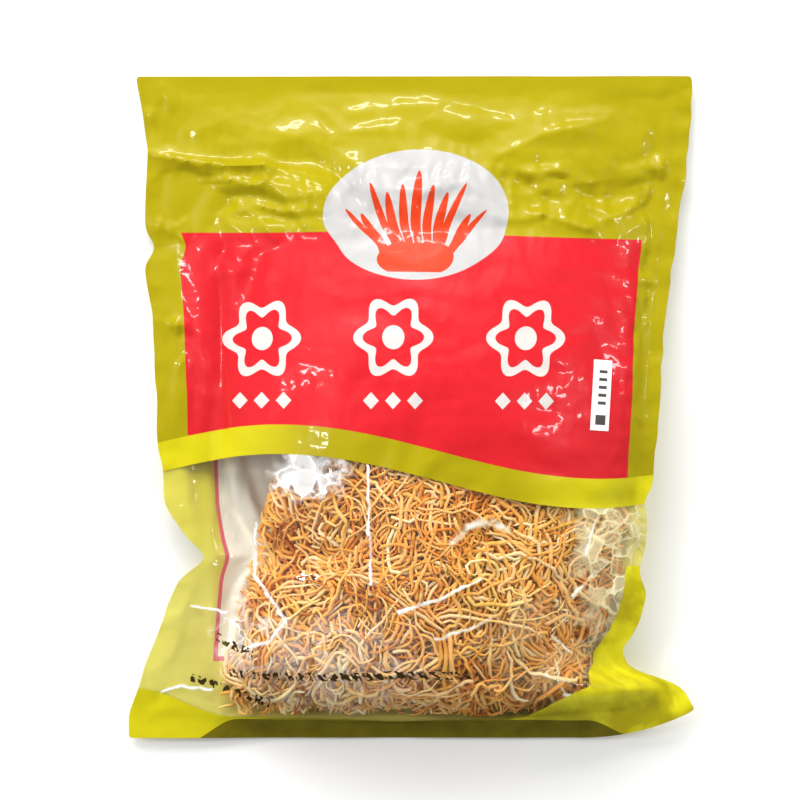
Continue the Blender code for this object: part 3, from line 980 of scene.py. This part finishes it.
def label_paper():
    """Smooth coated paper, white and slightly shiny, with plain dark bars where a date is stamped."""
    material, tree = new_material("Coated label paper")
    place = add(tree, "ShaderNodeUVMap", uv_map="label")
    split = add(tree, "ShaderNodeSeparateXYZ", {0: place}).node
    x, y = split.outputs["X"], split.outputs["Y"]
    rows = add(tree, "ShaderNodeMath", {0: y, 1: 9.0}, operation="MULTIPLY")
    row = add(tree, "ShaderNodeMath", {0: rows}, operation="FRACT")
    bar = add(tree, "ShaderNodeMath", {0: row, 1: 0.5, 2: 0.20}, operation="COMPARE")
    in_column = add(tree, "ShaderNodeMath", {0: x, 1: 0.55, 2: 0.22}, operation="COMPARE")
    in_stamp = add(tree, "ShaderNodeMath", {0: y, 1: 0.62, 2: 0.28}, operation="COMPARE")
    ink = add(tree, "ShaderNodeMath", {0: bar, 1: in_column}, operation="MULTIPLY")
    ink = add(tree, "ShaderNodeMath", {0: ink, 1: in_stamp}, operation="MULTIPLY")
    block = inside_box(tree, x, y, (0.25, 0.08), (0.80, 0.22))
    ink = largest(tree, [ink, block])
    colour = paint(tree, linear("#F1EFEA"), ink, linear("#4A4644"))
    fibres = add(tree, "ShaderNodeTexNoise", {"Vector": place, "Scale": 60.0, "Detail": 3.0})
    bump = add(tree, "ShaderNodeBump", {"Strength": 0.1, "Distance": 0.05 * MM, "Height": fibres})
    surface = add(tree, "ShaderNodeBsdfPrincipled", {"Base Color": colour, "Roughness": 0.45, "Normal": bump})
    add(tree, "ShaderNodeOutputMaterial", {"Surface": surface})
    return material


# The strands.

STEPS = 33
SIDES = 5
CLEARANCE = 0.06 * MM  # kept between strands, where there is room
TOUCH_REACH = 2.7 * MM  # how near strands are looked at, a little more than the thickest one
NEAR_FILM = 0.35  # the share of the strands that lie just under the front film
RING_PLACES = np.concatenate([[0.0, 0.014], np.linspace(0.045, 0.955, 17), [0.986, 1.0]])
END_SIZES = np.concatenate([[0.30, 0.72], np.ones(17), [0.72, 0.30]])
GROUPS = 4


def along_strands(values, passes):
    """Evens values out along each strand."""
    for _ in range(passes):
        ends = ((0, 0), (1, 1)) + ((0, 0),) * (values.ndim - 2)
        padded = np.pad(values, ends, mode="edge")
        values = (padded[:, :-2] + 2 * padded[:, 1:-1] + padded[:, 2:]) / 4
    return values


def wander(random, count, passes):
    """Random values that change smoothly along each strand, with a spread of 1."""
    values = along_strands(random.normal(0, 1, (count, STEPS)), passes)
    return values / values.std()


def strand_centres(random, count):
    """Places for the strands' middles, as dense as the heap is deep there."""
    found = np.zeros((0, 2))
    while len(found) < count:
        x = random.uniform(-0.090, 0.105, 4000)
        y = random.uniform(-0.132, 0.036, 4000)
        low, high = heap_heights(x, y)
        keep = (heap_depth_inside(x, y) > 4 * MM) & (random.uniform(0, CROWN, 4000) < high - low)
        found = np.concatenate([found, np.stack([x, y], axis=1)[keep]])
    return found[:count]


def draw_inside(plan):
    """Shifts each strand, seen from above, until it lies inside the heap's outline."""
    strands = np.arange(len(plan))
    nudge = 0.1 * MM
    for _ in range(25):
        x, y = plan[..., 0], plan[..., 1]
        inside = heap_depth_inside(x, y) - 2.5 * MM
        worst = np.argmin(inside, axis=1)
        wx, wy = x[strands, worst], y[strands, worst]
        slope_x = (heap_depth_inside(wx + nudge, wy) - heap_depth_inside(wx - nudge, wy)) / (2 * nudge)
        slope_y = (heap_depth_inside(wx, wy + nudge) - heap_depth_inside(wx, wy - nudge)) / (2 * nudge)
        short = np.minimum(inside[strands, worst], 0) * 0.7
        plan[..., 0] -= (short * slope_x)[:, None]
        plan[..., 1] -= (short * slope_y)[:, None]
    return plan


def keep_between_webs(paths, radius, room):
    x, y = paths[..., 0], paths[..., 1]
    low, high = heap_heights(x, y)
    low = np.maximum(low, read_lattice(room[0], x, y))
    high = np.minimum(high, read_lattice(room[1], x, y))
    floor = low + radius[:, None]
    paths[..., 2] = np.clip(paths[..., 2], floor, np.maximum(high - radius[:, None], floor))
    return paths


def strand_paths(random, settings, between):
    """Curly centre lines for all strands, before they are pushed off each other."""
    count = settings.count
    length = random.uniform(settings.shortest, settings.longest, count)
    radius = random.uniform(settings.thinnest, settings.thickest, count) / 2
    near_film = random.random(count) < NEAR_FILM
    share = np.where(near_film, 1 - 0.22 * random.random(count) ** 1.3, random.random(count))
    step = (length / (STEPS - 1))[:, None]
    bend = random.normal(0, 1 / (38 * MM), count)[:, None]
    curl = random.gamma(2.0, 0.5, count)[:, None]
    turning = bend + curl * (wander(random, count, 6) * 0.10 + wander(random, count, 30) * 0.095) / MM
    heading = random.uniform(-np.pi, np.pi, count)[:, None] + np.cumsum(turning * step, axis=1)
    step_x, step_y = np.cos(heading) * step, np.sin(heading) * step
    plan = np.stack([np.cumsum(step_x, axis=1), np.cumsum(step_y, axis=1)], axis=2)
    plan += strand_centres(random, count)[:, None] - plan.mean(axis=1, keepdims=True)
    plan = draw_inside(plan)
    low, high = heap_heights(plan[..., 0], plan[..., 1])
    room = np.maximum(high - low - 2 * radius[:, None], 0)
    slant = np.linspace(-2, 2, STEPS) * random.normal(0, 1, count)[:, None]
    rise = (wander(random, count, 14) * 1.1 + slant) * np.where(near_film, 0.5, 1.2)[:, None] * MM
    height = low + radius[:, None] + room * share[:, None] + rise
    paths = np.concatenate([plan, height[..., None]], axis=2)
    return keep_between_webs(paths, radius, between), radius


def close_pairs(points, reach, strand):
    """Pairs of points of different strands that are nearer than reach, by sorting them into cells."""
    cell = np.floor(points / reach).astype(np.int64)
    cell -= cell.min(axis=0) - 1
    size = cell.max(axis=0) + 2
    key = (cell[:, 0] * size[1] + cell[:, 1]) * size[2] + cell[:, 2]
    order = np.argsort(key, kind="stable")
    ordered = key[order]
    everyone = np.arange(len(ordered))
    firsts, seconds = [], []
    offsets = [(i * size[1] + j) * size[2] + k for i in (-1, 0, 1) for j in (-1, 0, 1) for k in (-1, 0, 1)]
    for offset in sorted(offset for offset in offsets if offset >= 0):
        start = np.searchsorted(ordered, ordered + offset, "left") if offset else everyone + 1
        count = np.maximum(np.searchsorted(ordered, ordered + offset, "right") - start, 0)
        first = np.repeat(everyone, count)
        second = np.arange(count.sum()) - np.repeat(np.cumsum(count) - count, count) + np.repeat(start, count)
        firsts.append(order[first])
        seconds.append(order[second])
    first, second = np.concatenate(firsts), np.concatenate(seconds)
    apart = strand[first] != strand[second]
    first, second = first[apart], second[apart]
    near = ((points[first] - points[second]) ** 2).sum(axis=1) < reach**2
    return first[near], second[near]


def push_apart(paths, radius, rounds, between):
    """Moves strands that lie in each other apart, bending them gently, and keeps them between the webs."""
    count = len(paths)
    strand = np.repeat(np.arange(count), STEPS)
    thick = np.repeat(radius, STEPS)
    for round_number in range(rounds):
        points = paths.reshape(-1, 3)
        if round_number % 4 == 0:
            first, second = close_pairs(points, TOUCH_REACH, strand)
        apart = points[first] - points[second]
        distance = np.linalg.norm(apart, axis=1) + 1e-9
        push = np.maximum(thick[first] + thick[second] + CLEARANCE - distance, 0)
        move = apart * (push / distance / 2)[:, None]
        touching = (push > 0).astype(float)
        total = len(points)
        moved = [np.bincount(first, m, total) - np.bincount(second, m, total) for m in move.T]
        touches = np.bincount(first, touching, total) + np.bincount(second, touching, total)
        moved = np.stack(moved, axis=1) / np.maximum(touches, 1)[:, None] * 1.3
        paths = paths + along_strands(moved.reshape(count, STEPS, 3), 3)
        paths[..., 2] = along_strands(paths[..., 2], 1)
        paths[..., 1] = np.maximum(paths[..., 1], HEAP_BOTTOM)
        paths = keep_between_webs(paths, radius, between)
    return paths


def straight_strand():
    """One straight strand, of unit radius and length, ready to be bent: its vertices and its faces."""
    bpy.ops.object.select_all(action="DESELECT")
    bpy.ops.mesh.primitive_cylinder_add(
        vertices=SIDES, radius=1, depth=1, end_fill_type="NGON", location=(0, 0, 0.5), enter_editmode=True
    )
    bpy.ops.mesh.select_mode(type="EDGE")
    bpy.ops.mesh.select_all(action="DESELECT")
    bpy.ops.object.mode_set(mode="OBJECT")
    strand = bpy.context.object
    bpy.ops.object.transform_apply(location=True, rotation=False, scale=False)
    for edge in strand.data.edges:
        low, high = (strand.data.vertices[i].co.z for i in edge.vertices)
        edge.select = abs(high - low) > 0.5
    bpy.ops.object.mode_set(mode="EDIT")
    bpy.ops.mesh.subdivide(number_cuts=len(RING_PLACES) - 2)
    bpy.ops.object.mode_set(mode="OBJECT")
    points = vertices_of(strand)
    wanted = SIDES * len(RING_PLACES)
    if len(points) != wanted:
        raise RuntimeError(f"a strand has {len(points)} vertices instead of {wanted}")
    faces = [list(face.vertices) for face in strand.data.polygons]
    bpy.data.objects.remove(strand)
    return points, faces


def bend_strands(paths, radius, random):
    """Bends a copy of the straight strand along every path. Gives all their vertices, and their faces."""
    count, rings = len(paths), len(RING_PLACES)
    straight, faces = straight_strand()
    ring = np.rint(straight[:, 2] * (rings - 1)).astype(int)
    position = RING_PLACES * (STEPS - 1)
    low = np.minimum(position.astype(int), STEPS - 2)
    lines = paths[:, low] + (paths[:, low + 1] - paths[:, low]) * (position - low)[None, :, None]
    ahead = np.gradient(lines, axis=1)
    ahead /= np.linalg.norm(ahead, axis=2, keepdims=True)
    side = np.empty_like(ahead)
    previous = np.cross(ahead[:, 0], random.normal(0, 1, (count, 3)))
    for i in range(rings):
        previous = previous - (previous * ahead[:, i]).sum(axis=1, keepdims=True) * ahead[:, i]
        previous /= np.linalg.norm(previous, axis=1, keepdims=True)
        side[:, i] = previous
    other = np.cross(ahead, side)
    taper = np.interp(RING_PLACES, [0, 0.25, 0.8, 1], [0.72, 0.95, 1.0, 0.9])[None]
    club = random.random((count, 1)) ** 3 * 0.30 * np.exp(-(((RING_PLACES - 0.93) / 0.09) ** 2))
    lumps = 1 + np.clip(0.13 * random.normal(0, 1, (count, rings)), -0.26, 0.14)
    thick = radius[:, None] * END_SIZES * (taper + club) * lumps
    flat = random.uniform(0.55, 1.0, (count, 1, 1))
    wide = (thick[:, ring] * straight[:, 0])[..., None] * side[:, ring]
    deep = (thick[:, ring] * straight[:, 1])[..., None] * other[:, ring] * flat
    return lines[:, ring] + wide + deep, faces, RING_PLACES[ring]


def strand_mesh(name, points, faces):
    """One mesh of many bent strands."""
    count, each = points.shape[:2]
    every = (np.arange(count) * each)[:, None]
    sizes = np.tile([len(face) for face in faces], count)
    corners = (np.concatenate([np.array(face) for face in faces])[None] + every).ravel()
    mesh = bpy.data.meshes.new(name)
    mesh.vertices.add(count * each)
    mesh.vertices.foreach_set("co", points.astype(np.float32).ravel())
    mesh.loops.add(len(corners))
    mesh.loops.foreach_set("vertex_index", corners.astype(np.int32))
    mesh.polygons.add(len(sizes))
    mesh.polygons.foreach_set("loop_start", (np.cumsum(sizes) - sizes).astype(np.int32))
    mesh.update(calc_edges=True)
    mesh.validate()
    return mesh


def paint_attribute(mesh, name, values):
    layer = mesh.attributes.new(name, "FLOAT", "POINT")
    layer.data.foreach_set("value", np.asarray(values, np.float32).ravel())


def fungus_material():
    """Air-dried fungus: matt and waxy, golden tan to orange-brown, mottled and finely wrinkled."""
    material, tree = new_material("Dried cordyceps fungus")
    place = add(tree, "ShaderNodeTexCoord").node.outputs["Object"]
    tone = add(tree, "ShaderNodeAttribute", attribute_name="tone").node.outputs["Fac"]
    warmth = add(tree, "ShaderNodeAttribute", attribute_name="warmth").node.outputs["Fac"]
    mottle = add(tree, "ShaderNodeTexNoise", {"Vector": place, "Scale": 1 / (2.6 * MM), "Detail": 3.0})
    toned = add(tree, "ShaderNodeMath", {0: mottle, 1: 0.45, 2: tone}, operation="MULTIPLY_ADD")
    ramp = add(tree, "ShaderNodeValToRGB", {0: toned}).node
    stops = ramp.color_ramp.elements
    stops[0].position, stops[0].color = 0.08, linear("#A86822")
    stops[1].position, stops[1].color = 0.96, linear("#FFF2C4")
    for position, colour in ((0.30, "#D89434"), (0.50, "#F6C25A"), (0.72, "#FFDF8E")):
        stops.new(position).color = linear(colour)
    warm = add(
        tree,
        "ShaderNodeMix",
        {0: warmth, 6: ramp.outputs["Color"], 7: linear("#FFC68A")},
        data_type="RGBA",
        blend_type="MULTIPLY",
    ).node.outputs[2]
    grain = add(tree, "ShaderNodeTexNoise", {"Vector": place, "Scale": 1 / (0.7 * MM), "Detail": 2.0})
    wrinkles = add(tree, "ShaderNodeBump", {"Strength": 0.5, "Distance": 0.15 * MM, "Height": grain})
    surface = add(
        tree,
        "ShaderNodeBsdfPrincipled",
        {"Base Color": warm, "Roughness": 0.55, "Specular IOR Level": 0.35, "Normal": wrinkles},
    )
    add(tree, "ShaderNodeOutputMaterial", {"Surface": surface})
    return material


# What a user can set, and the operators.


class FilmSettings(bpy.types.PropertyGroup):
    """Sizes and colours of the two webs of film."""

    thickness: FloatProperty(name="Thickness", description="Film thickness", default=0.12 * MM, unit="LENGTH")
    front_width: FloatProperty(
        name="Front width", description="Cut width of the front web", default=0.2425, unit="LENGTH"
    )
    back_width: FloatProperty(
        name="Back width", description="Cut width of the back web", default=0.240, unit="LENGTH"
    )
    front_slack: FloatProperty(name="Front slack", description="Cut length over settled length", default=0.995)
    back_slack: FloatProperty(name="Back slack", description="Cut length over settled length", default=1.02)
    yellow_hex: StringProperty(name="Yellow", description="The ink of the ground", default="#AB9D02")
    yellow_dark_hex: StringProperty(name="Deep yellow", description="Where the ink is dense", default="#9E9002")
    red_hex: StringProperty(name="Red", description="The ink of the label", default="#CE1C26")


class StrandSettings(bpy.types.PropertyGroup):
    """How many strands there are, and their sizes."""

    count: IntProperty(name="Count", description="Number of strands in the bag", default=2600, min=100)
    seed: IntProperty(name="Seed", description="Another number gives another tangle", default=7)
    rounds: IntProperty(name="Rounds", description="Rounds of pushing touching strands apart", default=64)
    shortest: FloatProperty(name="Shortest", description="Shortest strand", default=32 * MM, unit="LENGTH")
    longest: FloatProperty(name="Longest", description="Longest strand", default=66 * MM, unit="LENGTH")
    thinnest: FloatProperty(name="Thinnest", description="Thinnest strand", default=1.15 * MM, unit="LENGTH")
    thickest: FloatProperty(name="Thickest", description="Thickest strand", default=2.45 * MM, unit="LENGTH")


class LabelSettings(bpy.types.PropertyGroup):
    """The small paper label on the front."""

    size: FloatVectorProperty(
        name="Size", description="Width and height", default=(8 * MM, 30 * MM), size=2, unit="LENGTH"
    )
    turn: FloatProperty(
        name="Turn", description="How far it was stuck askew", default=math.radians(-4), unit="ROTATION"
    )
    thickness: FloatProperty(name="Thickness", description="Paper thickness", default=0.1 * MM, unit="LENGTH")


class StageSettings(bpy.types.PropertyGroup):
    """The camera and the lights."""

    camera_place: FloatVectorProperty(
        name="Camera", description="Where the camera stands", default=(-0.0048, 0.003, 1.5), subtype="XYZ"
    )
    view_width: FloatProperty(
        name="View width", description="What the camera sees across", default=0.3405, unit="LENGTH"
    )


class BAG_OT_back_film(bpy.types.Operator):
    """Lay the back web on the surface, as film held at its seams"""

    bl_idname = "bag.back_film"
    bl_label = "Back film"

    def execute(self, context):
        settings = context.scene.bag_film
        gap = -0.15 * MM - settings.thickness / 2
        points, across, along = smooth_web(back_height, gap)
        points[:, 2] = np.maximum(points[:, 2], settings.thickness)
        free = off_the_seals(across, along)
        cut = cut_places(points, settings.back_width, settings.back_slack)
        form = heap_form("bottom")
        ground = new_grid("ground", 4, 4)
        place_vertices(ground, vertices_of(ground) * 0.2 * SIM_SCALE)
        web = let_film_settle("back_web", points, cut, free, [form, ground], -3.0, 0.0)
        bpy.data.objects.remove(form)
        bpy.data.objects.remove(ground)
        settled = vertices_of(web)
        low, _ = heap_heights(settled[:, 0], settled[:, 1])
        settled[:, 2] = np.maximum(np.minimum(settled[:, 2], low - 0.3 * MM), settings.thickness / 2)
        place_vertices(web, settled)
        drawn_in = print_drawn_in(across, points, BACK_SQUEEZE)
        finish_web(web, drawn_in, along, settings.thickness, seam_creases)
        finish_piece(web, back_print(), "back_print", "back_film")
        return {"FINISHED"}


class BAG_OT_front_film(bpy.types.Operator):
    """Lay the front web over the heap, as film held at its seams"""

    bl_idname = "bag.front_film"
    bl_label = "Front film"

    def execute(self, context):
        settings = context.scene.bag_film
        gap = 0.15 * MM + settings.thickness / 2
        points, across, along = smooth_web(front_height, gap)
        free = off_the_seals(across, along)
        x, y = points[:, 0], points[:, 1]
        crumple = 0.6 * value_noise(x, y, 19 * MM, 11)
        crumple = crumple + 0.3 * value_noise(x * 0.8 + y * 0.6, y * 0.8, 9 * MM, 12)
        points[:, 2] += np.where(free, crumple * MM, 0)
        cut = cut_places(points, settings.front_width, settings.front_slack)
        form = heap_form("top")
        web = let_film_settle("front_web", points, cut, free, [form], -1.5, 1.0)
        bpy.data.objects.remove(form)
        drawn_in = print_drawn_in(across, points, FRONT_SQUEEZE)
        finish_web(web, drawn_in, along, settings.thickness, front_creases)
        finish_piece(web, front_print(settings), "front_print", "front_film")
        return {"FINISHED"}


class BAG_OT_date_label(bpy.types.Operator):
    """Stick the small paper date label on the front"""

    bl_idname = "bag.date_label"
    bl_label = "Date label"

    def execute(self, context):
        settings = context.scene.bag_label
        label = new_grid("date_label", 8, 28)
        bpy.ops.transform.resize(value=(settings.size[0] / 2, settings.size[1] / 2, 1))
        bpy.ops.object.transform_apply(location=False, rotation=False, scale=True)
        label.data.uv_layers[0].name = "label"
        label.rotation_euler = (0, 0, settings.turn)
        place_x, place_y = (STICKER_LOW.x + STICKER_HIGH.x) / 2, (STICKER_LOW.y + STICKER_HIGH.y) / 2
        label.location = (place_x, place_y, CROWN + 10 * MM)
        bpy.ops.object.transform_apply(location=True, rotation=True, scale=False)
        laid = label.modifiers.new("Laid on the film", "SHRINKWRAP")
        laid.target = bpy.data.objects["front_web"]
        laid.wrap_method = "PROJECT"
        laid.use_project_z = True
        laid.use_positive_direction = False
        laid.use_negative_direction = True
        laid.wrap_mode = "ABOVE_SURFACE"
        laid.offset = 0.08 * MM
        solid = label.modifiers.new("Thickness", "SOLIDIFY")
        solid.thickness = settings.thickness
        solid.offset = 1.0
        apply_modifiers(label)
        finish_piece(label, label_paper(), "label_paper", "date_sticker")
        return {"FINISHED"}


class BAG_OT_strands(bpy.types.Operator):
    """Fill the bag with curly dried strands, pushed apart where they meet"""

    bl_idname = "bag.strands"
    bl_label = "Strands"

    def execute(self, context):
        settings = context.scene.bag_strands
        random = np.random.default_rng(settings.seed)
        between = room_between_webs()
        paths, radius = strand_paths(random, settings, between)
        paths = push_apart(paths, radius, settings.rounds, between)
        points, faces, places = bend_strands(paths, radius, random)
        steps = np.rint(RING_PLACES * (STEPS - 1)).astype(int)
        tone = random.normal(0.42, 0.17, len(paths))[:, None] + 0.10 * wander(random, len(paths), 8)[:, steps]
        ring = np.searchsorted(RING_PLACES, places)
        middle = paths.mean(axis=1)
        warmth = 0.45 + 0.35 * value_noise(middle[:, 0], middle[:, 1], 45 * MM, 41)
        warmth = np.clip(warmth + random.normal(0, 0.25, len(paths)), 0, 1)
        material = fungus_material()
        order = np.argsort(middle[:, 0])
        for number, group in enumerate(np.array_split(order, GROUPS), start=1):
            mesh = strand_mesh(f"strands_{number}", points[group], faces)
            paint_attribute(mesh, "tone", tone[group][:, ring])
            paint_attribute(mesh, "warmth", np.repeat(warmth[group], points.shape[1]))
            piece = bpy.data.objects.new(mesh.name, mesh)
            context.scene.collection.objects.link(piece)
            finish_piece(piece, material, "dried_fungus", "cordyceps_strands", sharp_from=100)
        return {"FINISHED"}


class BAG_OT_stage(bpy.types.Operator):
    """Set the pale floor, the soft lights and the camera"""

    bl_idname = "bag.stage"
    bl_label = "Stage"

    def execute(self, context):
        settings = context.scene.bag_stage
        bpy.ops.object.select_all(action="DESELECT")
        bpy.ops.mesh.primitive_plane_add(size=8)
        floor = context.object
        floor.name = "floor"
        material, tree = new_material("Matt white paper")
        surface = add(tree, "ShaderNodeBsdfPrincipled", {"Base Color": linear("#F7F7F6"), "Roughness": 0.9})
        add(tree, "ShaderNodeOutputMaterial", {"Surface": surface})
        floor.data.materials.append(material)
        floor.visible_glossy = False
        for name, place, size, power, mirrored in LIGHTS:
            light = bpy.data.lights.new(name, "AREA")
            light.shape = "RECTANGLE"
            light.size, light.size_y = size
            light.energy = power
            lamp = bpy.data.objects.new(name, light)
            lamp.visible_glossy = mirrored
            context.scene.collection.objects.link(lamp)
            lamp.location = place
            lamp.rotation_euler = (-Vector(place)).to_track_quat("-Z", "Y").to_euler()
        world = bpy.data.worlds.new("studio")
        world.use_nodes = True
        world.node_tree.nodes["Background"].inputs["Strength"].default_value = 0.36
        world.node_tree.nodes["Background"].inputs["Color"].default_value = (1, 1, 1, 1)
        world.cycles_visibility.glossy = False
        context.scene.world = world
        camera = bpy.data.cameras.new("camera")
        stand = bpy.data.objects.new("camera", camera)
        context.scene.collection.objects.link(stand)
        stand.location = settings.camera_place
        camera.lens = camera.sensor_width * (settings.camera_place[2] - CROWN / 2) / settings.view_width
        context.scene.camera = stand
        context.scene.view_settings.view_transform = "Standard"
        return {"FINISHED"}


# Lights: name, place, size in metres, power in watts, and whether the film mirrors them. The large soft ones
# stand in for diffusers that are too dim to be seen in the film.
LIGHTS = (
    ("softbox_top", (-0.30, 1.25, 0.90), (1.80, 0.90), 31.0, False),
    ("softbox_left", (-1.35, 0.05, 0.70), (0.60, 1.20), 13.0, False),
    ("softbox_right", (1.35, 0.20, 0.75), (0.60, 1.00), 11.0, False),
    ("strip_top", (-0.20, 1.20, 0.66), (0.70, 0.07), 2.6, True),
    ("strip_left", (-1.05, 0.35, 1.25), (0.05, 0.40), 1.5, True),
    ("strip_right", (1.05, 0.45, 1.10), (0.05, 0.40), 1.1, True),
)


class BAG_PT_sidebar(bpy.types.Panel):
    bl_label = "Bag of dried cordyceps"
    bl_space_type = "VIEW_3D"
    bl_region_type = "UI"
    bl_category = "Bag"

    def draw(self, context):
        for holder, _ in SETTINGS:
            group = getattr(context.scene, holder)
            box = self.layout.box()
            for name in group.__annotations__:
                box.prop(group, name)
        for operator in OPERATORS:
            self.layout.operator(operator.bl_idname)


OPERATORS = (BAG_OT_back_film, BAG_OT_front_film, BAG_OT_date_label, BAG_OT_strands, BAG_OT_stage)
SETTINGS = (
    ("bag_film", FilmSettings),
    ("bag_label", LabelSettings),
    ("bag_strands", StrandSettings),
    ("bag_stage", StageSettings),
)


def register():
    for name, group in SETTINGS:
        bpy.utils.register_class(group)
        setattr(bpy.types.Scene, name, PointerProperty(type=group))
    for kind in (*OPERATORS, BAG_PT_sidebar):
        bpy.utils.register_class(kind)


def unregister():
    for kind in (BAG_PT_sidebar, *reversed(OPERATORS)):
        bpy.utils.unregister_class(kind)
    for name, group in reversed(SETTINGS):
        delattr(bpy.types.Scene, name)
        bpy.utils.unregister_class(group)


def main():
    register()
    bpy.ops.bag.back_film()
    bpy.ops.bag.front_film()
    bpy.ops.bag.date_label()
    bpy.ops.bag.strands()
    bpy.ops.bag.stage()


if __name__ == "__main__":
    main()
